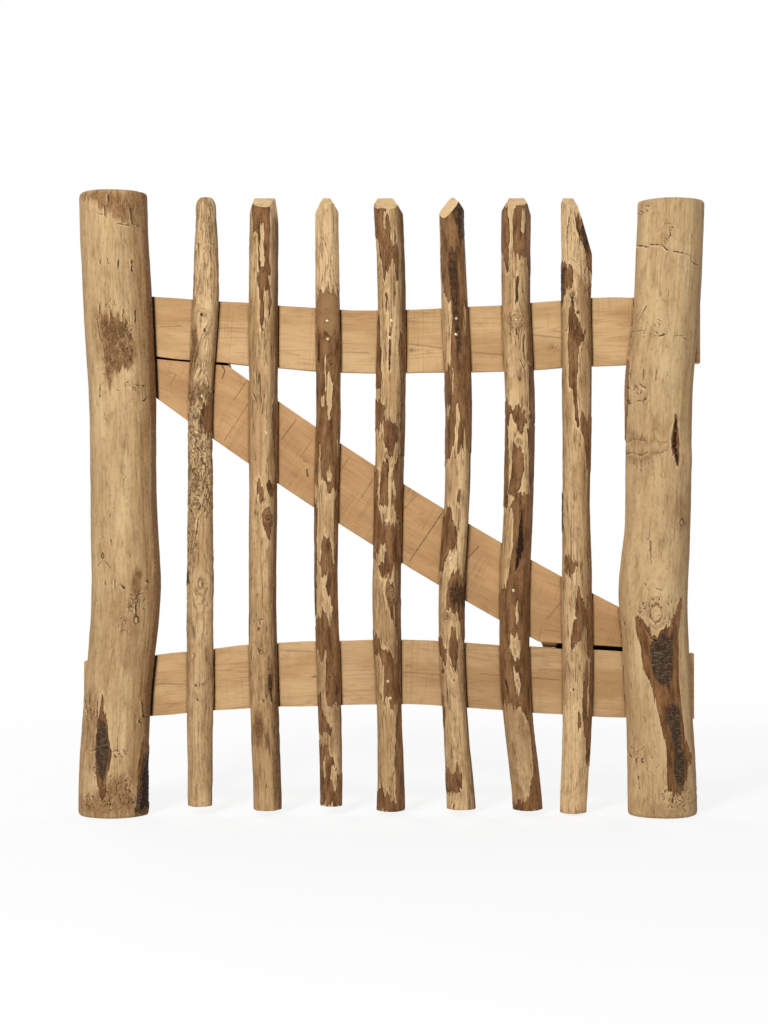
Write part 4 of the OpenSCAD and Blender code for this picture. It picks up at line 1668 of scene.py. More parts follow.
bark, peel, dark, inner = map(marker, (Kind.BARK, Kind.PEEL, Kind.DARK, Kind.INNER))
fresh, hollow = map(marker, (Kind.FRESH, Kind.HOLLOW))
CLOSING_POLE = pole(
    "closing_pole", CLOSING_AXIS, 11, bark_rise=1.0, specks=90, weather=0.6, flank=0.8, seam=2.4,
    marks=(
        stained(1, (957, 23, 44), (976, -9.5, 42.5), (989, -25.5, 45.5), (1002, -38.5), (1016, -SIDE)),
        stained(1.25, (702, -11, -4.5), (721, -14, 2), (734, -15.5, 31), (747, -17.5, 36), (789, -22, 29.5),
            (807, -25.5, 21.5), (816, -28.5, -15.5)),
        stained(1.7, (763, -15.5, -3), (782, -17.5, 23), (805, -20.5, 16.5)),
        stained(0.7, (740, -24, -15.5), (805, -35, -20.5), (827, -35, -22)),
        stained(0.5, (237, 20), (288, -3), (343, -6), (369, 7)),
        stained(0.27, (224, -SIDE, -3), (305, -SIDE, 26), (359, -SIDE, 26)),
        stained(0.65, (75, -45, -30.5), (111, -49.5, -30.5), (185, -51, -25.5), (208, -45, -28.5)),
        stained(0.5, (708, 61.5), (737, 44), (789, 47), (837, 55.5)),
        stained(0.6, (288, 60), (369, 63.5), (450, 60)),
        stained(1.15, (351, 34.5, 39), (366, 29, 44), (390, 29, 45.5), (406, 37.5, 40)),
        hollow((11, 39), (24, 41, 55.5), (62, 43.5, 54.5), (82, 45.5), (98, 50.5)),
        bark((37, -22, -12.5), (69, -30.5, -11.5), (88, -30.5, -6), (108, -31, -3.5), (153, -27, -11),
            (175, -23, -16.5), (195, -20, -17.5)),
        dark((66, -25.5, -14), (108, -28.5, -7), (130, -27, -9.5), (156, -22, -15)),
        bark((4, 32.5), (101, 39), (119, 44, 47)),
        dark((8, 32.5), (108, 45)),
        stained(0.9, (4, -SIDE, 36), (17, -SIDE, 36), (33, -48, 29.5), (50, -12.5, 20), (69, -3, 16.5)),
        stained(0.7, (298, 13.5, 26), (317, 8.5, 29.5), (334, 7, 26)),
    ),
    knots=knots((424, -19, 2.4, 0.5, 1.7), (320.7, 35.9, 3.6, 0.15, 1.5), (41.5, -15.7, 4, 0.1, 1.2, 0.7)),
    nicks=nicks(
        (328, 36.6, 324, 40, 318, 40.3, 314, 37.9, 314, 34.3, 319, 32.5, 325, 33.2, 328, 36.6, 1.5, 1),
        (348, 36.9, 338, 36.2, 329, 36.9, 1.6, 0.9), (902, -22, 894, -21.5, 1.2, 0.8),
        (905, -9.3, 896, -8.9, 1.2, 0.8), (902, 8.5, 890, 7.5, 1.6, 0.9), (902, 28.8, 884, 28.8, 1.8, 1),
        (821, -4.4, 807, -4.4, 1.3, 0.8), (822, 15.4, 803, 15.4, 1.5, 1), (821, 34, 800, 34.1, 1.4, 1),
        (1007, -8, 992, -7.7, 1.6, 0.9), (989, -14.1, 971, -13.5, 1.2, 0.7), (986, 27, 961, 28.7, 1.6, 0.9),
        (976, -23.8, 972, -12.5, 1, 0.6), (960, 7.8, 958, 24.6, 1.2, 0.8), (961, 31.1, 957, 39.1, 1, 0.6),
        (702, -23, 681, -22.8, 1.5, 0.9), (694, 2.8, 690, 8.5, 0.9, 0.6), (451, -4.4, 441, -4.1, 1.1, 0.7),
        (448, 14.3, 440, 14.5, 1, 0.6), (385, -14.9, 378, -14.8, 1.2, 0.8), (387, 2.7, 373, 2.3, 1.2, 0.8),
        (379, 11.7, 372, 18.2, 2.2, 0.8), (384, 52.1, 381, 55.3, 2.4, 0.8), (356, 29.5, 348, 32.7, 1, 0.7),
        (351, 39.1, 343, 35.9, 1.2, 0.9), (353, 44, 343, 41.6, 1, 0.7), (342, 27.9, 338, 34.3, 1, 0.7),
        (347, 35.9, 330, 35.9, 1.2, 0.8), (450, -22.2, 456, -17.3, 1, 0.6), (408, -27, 414, -22.2, 1, 0.7),
        (414, -14.1, 406, -6, 1, 0.7), (305, -2.8, 269, -2.5, 0.8, 0.3), (188, 44, 163, 45.6, 2.2, 0.9),
        (133, 6.1, 114, 6.1, 0.9, 0.6), (111, 5.3, 109, 6.9, 2, 1), (111, 15.7, 107, 18.2, 2.2, 1),
        (108, -38.3, 112, -29.3, 1.3, 1), (563, 35.9, 547, 37.5, 0.8, 0.4), (560, 11.7, 550, 21.4, 0.9, 0.5),
        (550, 16.6, 537, 14.9, 0.8, 0.5), (192, -27, 163, -27.7, 1.2, 0.9), (166, -35.1, 172, -30.3, 1, 0.7),
        (808, -27, 789, -24.6, 769, -20.6, 1.4, 0.4), (802, -20.6, 779, -16.2, 1.6, 0.4),
        (756, -15.7, 719, -13.1, 1.4, 0.3), (803, 6.9, 800, 16.6, 1.4, 0.5), (740, 19.8, 736, 31.1, 1.2, 0.3),
        (829, -23.2, 815, -23.5, 1.2, 0.7), (698, 24.6, 695, 31.1, 690, 35.9, 1.1, 0.4),
        (673, 26.2, 669, 45.6, 0.9, 0.1), (676, -30.3, 666, -27, 1.8, 0.3), (188, -51.2, 166, -44.8, 1.4, 0.8),
        (185, -41.6, 159, -36.7, 1.4, 0.8),
    ),
    stretches=stretches(
        (CRUMBLY, 14, 69, 1, -22, 31), (CRUMBLY, 11, 33, 0.6, -48, -9.5), (CRUMBLY, 334, 366, 0.6, 23, 52),
        (CRUMBLY, 727, 808, 0.5, -20.5, 32.5), (RIPPLED, 79, 204, 0.9, -SIDE, -28.5),
    ),
    flecked=(
        (734, 802, -17, 31, 60), (702, 740, -17, -3, 12), (334, 369, 23, 52, 34), (11, 72, -19, 33, 60),
        (11, 37, -48, -16, 16), (46, 114, -35, -25, 10), (663, 705, 20, 52, 14), (153, 182, 39, 52, 14),
        (298, 324, 7, 26, 14), (818, 840, -16, 4, 10), (98, 114, 0, 20, 8),
    ),
)
HANGING_POLE = pole(
    "hanging_pole", HANGING_AXIS, 12, bark_rise=1.5, specks=90, weather=0.55, flank=0.3, seam=-1.0,
    marks=(
        inner((610, -SIDE, -57.5), (742, -SIDE, -52.5)),
        stained(0.8, (603, -60.5, -7.5), (610, -60.5, 5.5), (618, -60.5, -39.5), (637, -60.5, -52.5)),
        stained(0.8, (569, -49.5, -30), (581, -SIDE, -23.5), (589, -SIDE, -1), (597, -SIDE, 5.5)),
        stained(0.3, (531, -49.5, -30), (560, -59, -23.5), (585, -SIDE, -14)),
        hollow((579, 19, 22), (587, 14.5, 22), (611, 12, 20), (648, 17.5, 19.5)),
        stained(0.6, (466, 18.5), (492, 13.5), (514, 18.5)),
        stained(0.3, (618, -39.5, 5.5), (643, -39.5, 5.5)),
        bark((577, 18.5, 22.5), (585, 13, 24), (611, 10.5, 23.5), (652, 17.5, 20)),
        bark((305, -43, -22), (323, -46, -42), (334, 20, 28), (353, 26, 29)),
        bark((43, 5.5, 26.5), (62, 4, 36.5), (88, 3, 41), (95, 3, 47.5), (108, 2.5, 44.5), (127, -1, 34.5),
            (192, -14.5, 26.5), (217, -22, 25), (240, -34, 23.5), (288, -39.5, 22.5), (295, -15.5, 22.5),
            (317, 9, 25), (334, 19.5, 26.5), (348, 24, 27.5)),
        bark((287, -40.5, -22), (301, -44, -22), (324, -46, -43)),
        dark((214, -5.5, 5.5), (224, -14, 12), (240, -20, 13), (263, -24, 13), (282, -22, 13), (298, -7.5, 13.5)),
        dark((50, 20, 28), (69, 13.5, 31.5), (101, 13.5, 30), (117, 13.5, 26.5), (143, 5.5, 26.5), (166, 2.5, 23.5),
            (185, 5.5, 18.5)),
        stained(0.45, (4, -59, 41), (20, -57.5, -7.5), (37, -54, -39.5)),
    ),
    knots=knots((332.8, -14.9, 8.6, 0, 1.75), (478.1, 29, 4.5, 0.4, 1.3)),
    nicks=nicks(
        (789, -46.5, 789, -29.9, 1, 0.6), (779, -8.9, 781, -0.1, 1.8, 0.8), (779, 17.7, 780, 28.2, 1.1, 0.6),
        (776, 31.4, 771, 41.1, 1.1, 0.6), (727, -51.4, 710, -51.4, 1.3, 0.4), (726, -32.7, 709, -33.6, 1.4, 0.5),
        (726, -13.1, 707, -14.4, 1.4, 0.4), (720, 4.5, 714, 4.5, 1.1, 0.4), (701, -38, 695, -29.9, 1.8, 0.9),
        (677, -54.1, 671, -52.5, 2, 1), (673, -34.8, 679, -29.9, 2, 1), (674, -46.1, 675, -39.6, 1.2, 0.7),
        (590, -60.6, 592, -49.3, 587, -38, 592, -26.7, 2.2, 0.3), (589, -17, 592, -4.1, 595, 5.6, 1.8, 0.2),
        (592, -47.7, 572, -47, 1.6, 0.25), (589, -37.7, 560, -37, 1.8, 0.3), (592, -30.9, 568, -31.5, 1.6, 0.25),
        (592, -21.9, 577, -22.2, 1.6, 0.2), (608, -59, 614, -46.1, 610, -29.9, 1.8, 0.2),
        (609, -12.2, 606, 5.6, 1.6, 0.15),
        (485, 29.1, 480, 32.4, 475, 32.1, 472, 29.1, 476, 25.6, 481, 26.2, 485, 29.1, 1.5, 0.8),
        (472, 29.1, 464, 29.8, 1.4, 0.6), (563, -2.5, 546, 4, 1, 0.1), (537, 8.8, 527, 19.3, 1, 0.15),
        (453, -29, 437, -29.3, 1.8, 0.3), (466, -24.8, 450, -24.8, 1.2, 0.3), (450, -22.8, 422, -22.5, 2.2, 0.4),
        (424, -26.7, 413, -20.9, 1, 0.3), (372, -13.8, 369, -6.4, 1.6, 0.8), (379, -31.5, 369, -26.7, 1, 0.5),
        (96, -44, 85, -44, 1.8, 1), (101, -52.5, 95, -50.1, 1.2, 0.7), (67, -40.6, 62, -40.6, 1.6, 0.9),
        (49, -39.6, 46, -39, 1.4, 0.8), (108, -38, 116, -31.5, 1, 0.6), (316, -61.4, 311, -61.2, 1.4, 0.8),
        (293, -23.5, 286, -13.8, 1.2, 0.8), (308, -29.9, 295, -22.5, 1.4, 0.9),
        (931, -44.5, 928, -33.2, 924, -25.1, 1.5, 1), (928, -21.9, 926, -4.1, 917, 4, 1.6, 1),
        (915, 14.6, 913, 29.8, 1.8, 1.1), (913, 29.8, 910, 41.1, 899, 45.9, 895, 55.6, 1.1, 0.8),
        (960, 7.2, 944, 7.8, 1.4, 0.4), (945, 45.3, 928, 41.7, 1.2, 0.4), (829, -27.7, 809, -38, 1.3, 0.5),
    ),
    stretches=stretches((CRUMBLY, 11, 56, 0.8, -1), (CRUMBLY, 327, 356, 0.3, -39.5, 18.5)),
    flecked=(
        (311, 359, -40, 12, 34), (11, 53, -4, 41, 34), (979, 995, -40, -23, 10), (924, 963, -1, 12, 12),
        (769, 808, -40, -4, 12), (669, 705, -56, -20, 12), (88, 111, -53, -30, 12), (217, 288, -1, 12, 10),
    ),
)
PALES = (pale(
    1, 31, specks=30, weather=0.35, flank=0.3, ridge=0.3, pointed=False, end_round=16.0, end_inset=11.0,
    foot_inset=1.0,
    marks=(
        bark((622, 14.5), (632, 2.5), (647, 1.5), (660, 3.5), (673, 12), (684, 16)),
        stained(0.4, (26, -0.5), (189, 3), (286, 9.5)),
        stained(0.22, (26, -SIDE), (417, -SIDE)),
        stained(1, (704, -SIDE, -15), (723, -21.5, -10), (759, -16.5, 1.5), (798, -15, -3.5)),
        stained(1, (671, -15, 1.5), (686, -15, 17.5), (704, -7, 16)),
        dark((374, -SIDE, -17.5), (397, -SIDE, -17.5)),
    ),
    knots=knots(
        (807.9, 6.2, 6, 0, 1.7, 0.1), (377.6, 6.7, 3.2, 1, 2, 0.6), (503.1, -3.6, 4, 0.3, 1.2, 0.3),
        (377.6, 2.9, 10, 0, 1.8, 0), (628.7, -3.6, 5, 0, 1.4, 0.2),
    ),
    nicks=nicks(
        (933, -2.6, 925, -2.3, 2, 1.2), (820, 4.6, 815, 4.9, 2.8, 1.2), (794, 8.8, 789, 9.1, 2.6, 1.2),
        (214, -5.2, 212, -4.9, 2.2, 1.1), (190, -2.9, 188, -2.6, 2.4, 1.2), (264, -8.5, 260, -6.9, 2, 1),
        (215, 5.9, 214, 6.2, 1.4, 0.8), (660, 4.6, 650, 6.2, 1.4, 0.8), (616, -5.2, 611, -3.6, 2.4, 0.9),
        (902, -17.6, 886, -15, 1.2, 0.8), (809, 6.2, 3.4, 0.4), (683, 3.9, 3.4, 0.4),
        (782, 4.1, 756, -3.6, 727, -11.1, 1.4, 0.35), (779, 8.3, 759, 2.9, 736, -4.6, 1.3, 0.25),
        (779, -1.3, 746, -12.1, 1.2, 0.3), (824, 16.3, 805, 22.2, 779, 16.3, 747, 13, 723, 12.7, 1, 0.25),
        (811, -2.9, 823, -1.3, 827, 4.1, 822, 13, 811, 17.9, 798, 13, 785, 6.2, 1.1, 0.2),
        (988, 4.1, 971, 2.9, 956, 2.8, 1, 0.4), (988, 11.4, 963, 13, 945, 10.4, 1, 0.4),
        (978, 16.3, 940, 17.6, 930, 21.2, 1, 0.4), (985, 1.8, 956, 0.2, 0.9, 0.4), (988, 7.3, 959, 8.3, 0.9, 0.3),
        (953, 13, 930, 16.3, 1, 0.4), (924, 13, 914, 6.7, 901, 8.3, 1, 0.4), (856, -4.6, 843, -7.8, 1.1, 0.5),
        (902, 4.6, 872, -0.3, 0.9, 0.3), (873, 19.2, 841, 20.9, 0.9, 0.3),
        (721, 0.2, 727, 5, 714, 13, 702, 16.3, 695, 11.4, 1.2, 0.3),
        (497, 7, 484, -1.2, 471, -2.8, 449, -6.9, 430, -10.6, 1.3, 0.5),
    ),
    stretches=stretches(
        (WORMY, 488, 700, 1), (WORMY, 423, 488, 0.9, -SIDE, -2), (RIPPLED, 841, 1010, 0.9, -SIDE, SIDE, 0.04),
        (RIPPLED, 686, 795, 1, -SIDE, 14.5, -0.22), (RIPPLED, 286, 430, 0.9), (RIPPLED, 26, 286, 0.5),
    ),
), pale(
    2, 32, specks=30, weather=0.75, flank=0.75, ease=0.9,
    extra_cuts=(HeadCut((-0.6373, 0.012, 1.01), (0.887, -0.436, 0.15), Cut.SPLIT),),
    marks=(
        bark((792, -1.5, 1.5), (805, -3.5, 2.5), (814, -3.5, 12), (841, -4, 14), (857, -5, 12), (867, -5.5, 9),
            (876, -8, 13), (886, -8, 14), (893, -2.5, 11.5), (938, -5.5, 11.5), (951, -14.5, 11.5), (981, -17, 12),
            (999, -17, 12)),
        peel((891, -2.5, 2.5), (902, -4.5, 3.5), (964, -4, 2.5)),
        peel((805, 2.5, 7.5), (821, 2.5, 10.5), (844, 1.5, 10.5), (863, 3.5, 5.5)),
        dark((893, -6, -4), (961, -6.5, -4)),
        bark((547, 21), (612, 18.5), (632, 15.5), (665, 16.5), (681, 20.5)),
        bark((515, -4, 2.5), (526, -8, 1.5), (537, -9, 2.5), (549, -8.5, -4)),
        bark((521, 10.5, 17), (537, 7.5, 18.5), (547, 9, 12)),
        bark((449, 10, 12), (462, 4, 12), (475, 1, 16.5), (490, 0, 17), (500, 2.5, 12)),
        stained(1, (189, 9, 20.5), (205, 5.5, 20.5), (237, 5.5, 18.5), (262, 7.5, 12)),
        dark((192, 13, 15.5), (218, 8, 15.5), (231, 10, 12)),
        stained(1, (110, -7.5, -1), (123, -14, -1), (148, -15.5, 5.5), (171, -10.5, -1)),
        stained(1, (26, 18.5), (189, 14)),
    ),
    knots=knots(
        (516.2, -0, 3, 0.9, 1.1), (486, 7.8, 3, 0.8, 1.4), (304.3, -5.9, 2.2, 0.9, 1.2), (266.8, -1.6, 3, 0.6, 1.1),
    ),
    nicks=nicks(
        (793, 0.8, 790, 1.1, 2.6, 1.3), (189, 1.5, 186, 2.1, 2.8, 1.3), (691, -16.5, 678, -11.2, 1.2, 0.6),
        (723, -10.6, 704, -9, 1, 0.6), (319, -5.7, 321, 3.4, 1, 0.6), (311, -5.1, 319, -0, 0.9, 0.6),
        (624, 5.7, 3.4, 0.4),
    ),
    stretches=stretches((SPLIT, 645, 1004, 1, 12), (RIPPLED, 678, 963, 0.5, -SIDE, -1), (RIPPLED, 91, 286, 0.6)),
), pale(
    3, 33, specks=30, weather=0.5, flank=0.6, ease=0.8,
    marks=(
        fresh((860, -SIDE), (1007, -SIDE)),
        inner((785, -6, 16.5), (795, -12.5, 21.5), (811, -16, 21.5), (841, -14.5, 21.5), (854, -9.5, 16.5)),
        bark((529, 0.5, 8.5), (537, -8, 13.5), (563, -SIDE), (785, -SIDE), (795, -SIDE, -11)),
        peel((699, -1.5, 1), (749, -3, 0.5)),
        peel((640, 4, 7), (678, 1, 10), (704, 2, 11.5), (723, 3.5, 8.5)),
        peel((663, -8, -3), (682, -8.5, -1.5)),
        peel((531, -12.5, -6), (603, -11, -8.5)),
        peel((585, 17.5, 20), (624, 17.5, 20)),
        peel((544, 3.5, 7), (550, 1, 10), (562, 2, 11.5)),
        peel((521, -11, 3.5), (550, -8, -3)),
        bark((394, -6, 2), (407, -9, 10.5), (423, -7, 10), (441, -8, 8.5), (458, 0.5, 4.5)),
        bark((182, 7, 20), (189, 2), (205, -0.5), (286, 3.5), (339, 11.5), (374, 0), (387, 2), (417, 13.5),
            (523, 14)),
        bark((319, -SIDE, -16), (515, -SIDE, -15)),
        stained(0.55, (107, -SIDE), (140, 0.5), (182, -SIDE), (205, -SIDE, 2), (286, -SIDE, 7)),
        bark((254, -8, -4.5), (267, -11, 2), (277, -SIDE, 8.5), (299, -16.5, 8.5), (322, -14.5, 3.5),
            (334, -4.5, 0.5)),
        dark((193, 16, 18.5), (211, 16, 19)),
        bark((132, -9.5, 5), (138, -SIDE, 11.5), (153, -SIDE, 3.5), (164, -SIDE, -6), (197, -SIDE, -8.5)),
        bark((16, -SIDE), (42, -SIDE), (65, -SIDE, 20), (101, -SIDE, 8.5), (112, -9.5, 2)),
        peel((55, -2, 0.5), (91, -4.5, -0.5)),
        peel((40, 13.5, 16.5), (65, 7, 19), (81, 8.5, 13.5)),
    ),
    knots=knots((809.6, 1.1, 11, 0.15, 1.5, 0.4), (739.5, 8.5, 3.5, 0.5, 1.2)),
    nicks=nicks(
        (787, -11.6, 739, -11.1, 2.2, 1.4), (942, -4.6, 929, 0.3, 1, 0.6), (860, 19.1, 849, 19.9, 1.8, 1),
        (221, 2.3, 220, 2.6, 1.8, 0.9), (201, 2, 199, 2.3, 1.4, 0.8), (414, -12.7, 407, -9.4, 1.4, 0.9),
        (806, 2, 3.4, 0.4), (777, 2.9, 3.4, 0.4), (547, 4.2, 3.4, 0.4),
    ),
    stretches=stretches((SPLIT, 930, 1007, 1), (RIPPLED, 841, 930, 0.8)),
), pale(
    4, 34, specks=30, weather=0.8, flank=0.8,
    extra_cuts=(HeadCut((-0.4345, 0, 1.0028), (0.835, 0, 0.546), Cut.PLANED),),
    marks=(
        bark((876, -8.5, -6), (889, -10, -5), (902, -13, 14.5), (929, -17, 14.5), (945, -18, 11.5), (968, -SIDE, 0.5),
            (994, -SIDE, -8.5)),
        bark((867, 12, 13.5), (909, 8, 16)),
        peel((950, -8.5, -5), (977, -9.5, -5)),
        peel((932, 3, 8), (986, 1.5, 11.5)),
        bark((828, -5, -3.5), (854, -6, -3.5)),
        bark((728, -1, 1.5), (783, 0, 3), (800, 2.5, 4.5)),
        bark((694, -SIDE, -16.5), (710, -SIDE, -11.5), (816, -SIDE, -15.5)),
        bark((593, 18), (694, 19.5), (767, 15.5), (792, 18.5)),
        bark((630, -SIDE, -17.5), (658, -SIDE, -5), (674, -SIDE, -10)),
        bark((586, 0, 3), (612, -7.5, 13.5), (634, -10, 16), (647, -8.5, -5)),
        bark((506, -15, -2), (539, -14, -2), (560, -13, 0.5), (578, -8.5, -2)),
        bark((482, 1.5), (567, 6.5), (588, 16)),
        bark((392, -13, 3), (407, -18, 8), (423, -5), (430, -SIDE), (466, -SIDE), (475, -SIDE, -11.5),
            (515, -SIDE, -18), (563, -SIDE, -18)),
        peel((477, 1.5, 11.5), (492, -1, 13), (508, 0, 4.5)),
        peel((515, 6.5, 9.5), (528, 5.5, 11.5), (550, 4.5, 8)),
        peel((420, -16.5, -8.5), (433, -17.5, -4), (446, -13, -5)),
        inner((355, -3.5, 6.5), (368, -6, 8), (384, -4, 4.5)),
        bark((286, 13.5), (303, 11.5), (335, 0), (352, -2, 16)),
        peel((309, 7, 11.5), (345, 6.5, 9)),
        bark((172, 1.5, 4), (182, -1, 8), (192, -8.5), (228, -7.5), (247, -10, 13), (264, -16.5, -2),
            (280, -SIDE, -13), (296, -SIDE, -19)),
        bark((6, -SIDE), (26, 11.5), (91, 9.5), (162, 11.5), (182, 18)),
        bark((6, -SIDE), (24, -SIDE, 9.5), (30, -SIDE, 3), (35, -19.5, -5), (44, -15, -12.5)),
    ),
    knots=knots((586.3, -2.4, 4, 0.6, 1.3), (369.7, 1.8, 5.2, 0.5, 1.2)),
    nicks=nicks(
        (798, 0.5, 733, 0.2, 1, 0.8), (929, 8, 919, 3.1, 0.8, 0.5), (922, -5, 880, -6, 1, 0.6),
        (581, -4.1, 575, -1.8, 1.8, 1), (435, -18.7, 430, -18.1, 2.2, 1.1), (488, 12.7, 484, 13.4, 1.6, 1),
        (806, 3.4, 3.4, 0.4), (779, 1.8, 3.4, 0.4), (481, -4.1, 3.4, 0.4), (219, -2.1, 3.4, 0.4),
        (192, 2.1, 3.4, 0.4),
    ),
    stretches=stretches((RIPPLED, 841, 979, 0.5), (RIPPLED, 254, 368, 0.4)),
), pale(
    5, 35, specks=30, weather=0.45, flank=0.7,
    extra_cuts=(HeadCut((-0.3545, 0.0065, 0.977), (-0.642, -0.567, 0.515), Cut.SAWN),),
    marks=(
        bark((576, -13.5, -9), (593, -12, -0.5), (612, -12), (658, -10.5), (678, -13), (723, -12), (736, -2.5),
            (824, 0), (860, -14.5), (906, -18.5), (999, -18.5)),
        dark((938, 11), (984, -0.5), (1004, 1)),
        dark((749, 7.5, 14), (841, -0.5, 9), (880, -5.5, 9), (922, -5.5, 6)),
        peel((736, -10.5, -2.5), (808, -13.5, -1.5), (842, -13.5, -9)),
        peel((774, 19.5, 22), (811, 17, 23.5), (834, 19, 22)),
        peel((684, 0, 2.5), (730, -0.5, 2)),
        peel((647, -9, -5.5), (658, -10.5, -3), (668, -9.5, -5.5)),
        peel((570, -13.5, 15.5), (586, -4, 11), (603, 2, 7.5), (645, 5, 12.5), (671, 6.5, 9)),
        peel((583, 20.5, 27), (599, 17.5, 22), (638, 18, 20.5)),
        bark((506, 7.5, 11), (524, 8.5, 14)),
        bark((394, -SIDE, -18.5), (427, -SIDE, -6.5), (440, -18, 6.5), (461, -17.5, 9), (480, -16, 1),
            (510, -4.5, -3)),
        bark((286, 15.5), (317, 12.5), (345, -9.5), (365, -9.5), (384, -4), (399, 1, 2.5)),
        dark((340, 4.5), (352, -4.5), (365, -4.5), (378, -0.5)),
        bark((236, 3.5, 5), (267, -6, 9), (293, -4, 8.5), (306, -0.5, 4.5)),
        bark((247, -15.5, -10.5), (260, -19.5, -9.5), (277, -22, -12.5), (290, -SIDE, -17.5)),
        bark((140, -SIDE, -12), (172, -SIDE, -11.5), (200, -SIDE, -15.5)),
        bark((34, -9, -4), (39, -10.5, 11), (48, -11, 15.5), (70, -11, 15.5), (81, 10, 14), (84, -10.5, -9),
            (96, 11, 12.5)),
    ),
    knots=knots((325.8, -8.3, 4.5, 0.8, 1.3, 0.6), (235, -14.6, 1.8, 1, 1.6), (32.1, 6.7, 4.5, 0.3, 1.1, 0.4)),
    nicks=nicks(
        (222, 2.5, 220, 2.8, 2, 1.1), (195, 3.3, 193, 3.6, 2.2, 1.1), (798, -5.5, 782, -5.5, 1.2, 0.5),
        (19, 2.6, 11, 1.6, 1.8, 1), (247, -3.1, 234, 2.6, 1, 0.7), (810, 5.9, 3.4, 0.4), (784, 5.9, 3.4, 0.4),
        (418, -3.2, 3.4, 0.4),
    ),
), pale(
    6, 36, specks=30, weather=0.6, flank=0.6,
    marks=(
        bark((888, -14, -12), (922, -20.5, -11.5), (951, -SIDE, -10), (995, -SIDE, -14)),
        bark((907, 5.5, 7), (912, 2, 17), (922, -4.5), (963, -5.5), (997, -2.5)),
        peel((951, 8.5, 13.5), (971, 8, 17), (987, 10.5, 15)),
        peel((919, -9.5, -4.5), (968, -9.5, -6)),
        bark((886, 21.5), (925, 17)),
        dark((829, 0, 3), (870, 0, 4)),
        bark((645, 22.5), (733, 21.5)),
        bark((739, 13.5, 15), (759, 10.5, 12), (783, 12.5, 14.5)),
        bark((640, -16, -11.5), (655, -16, -6), (665, -SIDE, -7.5), (678, -SIDE, -12.5)),
        bark((622, 7, 10.5), (645, -4.5, 18.5), (658, -4.5, 12), (669, 0.5, 4)),
        bark((506, -SIDE, -12.5), (612, -SIDE, -11.5), (645, -SIDE, -14)),
        bark((515, 25), (638, 18.5)),
        bark((505, -12.5, -2.5), (521, 4, 6), (531, -12.5, 2), (563, -6.5, 13.5), (590, -6, 12), (603, -2.5, 5.5)),
        bark((6, -SIDE), (16, -SIDE), (24, 20), (58, 25), (71, 30.5), (140, 23.5), (162, 16), (184, 5.5),
            (192, -SIDE), (355, -SIDE), (368, -19), (391, -11.5), (430, -4.5), (474, -3.5), (510, -7.5),
            (521, -1, 12), (534, 5.5, 8.5)),
        hollow((402, -2, 0.5), (431, 1.5, 13.5), (502, 8.5, 10.5)),
        stained(0.4, (26, -SIDE, 23.5), (91, -SIDE, 28), (162, -SIDE, 15), (189, -SIDE, 5.5)),
        peel((308, 0.5, 3), (332, -1, 4), (355, 1, 3)),
        peel((255, -6, -2.5), (270, -10, 8.5), (283, -11, 7), (296, -8.5, -2.5)),
        peel((203, 0.5, 5), (215, -2.5, 8.5), (228, -5, 7), (242, -2.5, 4)),
        dark((202, -15, -10.5), (211, -16, -11), (223, -17, -15)),
    ),
    knots=knots((808.3, 0.5, 8.3, 0.55, 1, 0.8), (610.7, 4.4, 3.4, 0.7, 1.1, 0.5), (649.8, 22.5, 5, 0.1, 1.1, 0.5)),
    nicks=nicks(
        (795, 0.2, 783, 1.2, 1.8, 1.1), (775, -0.8, 767, -0.5, 1.2, 0.7), (743, 7, 723, 15.2, 1, 0.7),
        (223, 1.5, 221, 1.8, 1.8, 1.1), (218, -15.8, 205, -12.2, 1.6, 0.9), (808, 0.8, 3.4, 0.4), (367, -4, 3.4, 0.4),
    ),
    stretches=stretches((SPLIT, 678, 775, 0.6)),
), pale(
    7, 37, specks=30, weather=0.6, flank=0.45, twist=2.2,
    marks=(
        bark((886, 14.5), (901, 15.5), (929, 9), (938, 1.5), (971, -6.5), (982, -8, -3)),
        dark((922, 14), (929, 8), (964, -3)),
        dark((834, -SIDE, -25), (893, -SIDE, -19.5)),
        bark((854, -SIDE, -23), (863, -SIDE, -13.5), (872, -SIDE, -9.5), (883, -SIDE, -9.5), (893, -SIDE, -13.5),
            (902, -SIDE, -23.5)),
        bark((632, -4, 0), (694, -10.5, -4.5), (704, -16.5, -4), (759, -17, -2), (772, -18, 1.5), (780, -18, 12),
            (798, -16.5, 1.5), (821, -15.5, -6.5), (847, -12.5, -10.5)),
        bark((563, 15.5), (612, 7.5), (632, 2.5), (645, 1.5, 11.5), (660, 3.5, 5.5)),
        bark((392, -15.5, -13), (402, -22, -6.5), (410, -23, 0), (415, -22, -9.5), (425, -20, -18)),
        bark((272, -13, -7), (290, -13, 1.5), (306, -9.5, 10), (324, -6.5, 15), (342, -5, 14.5), (352, -4, 6.5),
            (365, -1.5, 1)),
        bark((254, 14.5), (352, 13)),
        bark((84, 12, 14.5), (110, 12.5), (135, 9), (153, 6.5, 17), (172, 5.5, 13), (198, 6, 13), (221, 8, 15.5),
            (247, 11.5, 14.5)),
        bark((141, -1.5, 1.5), (159, -3, 3.5), (171, -2, 0)),
        bark((149, 17.5), (241, 18)),
        fresh((873, -14.5), (893, -SIDE), (938, -SIDE, 8), (1007, -SIDE)),
        fresh((6, -SIDE), (74, -SIDE), (149, -SIDE, 8), (182, -SIDE, 5)),
        dark((469, -SIDE, -24.5), (523, -SIDE, -24.5)),
    ),
    knots=knots(
        (848.7, -10.7, 3.2, 1, 1.3), (768.8, 8.2, 4.5, 0.3, 1.2, 0.2), (820.3, -2.2, 1.6, 0.8, 1.2),
        (261.9, -8.1, 4, 0.1, 1.5, 0.25),
    ),
    nicks=nicks(
        (821, -3.6, 818, -3.2, 2, 1.1), (797, -3.2, 793, -2.9, 1.8, 1), (207, -10.1, 204, -9.7, 2.2, 1.1),
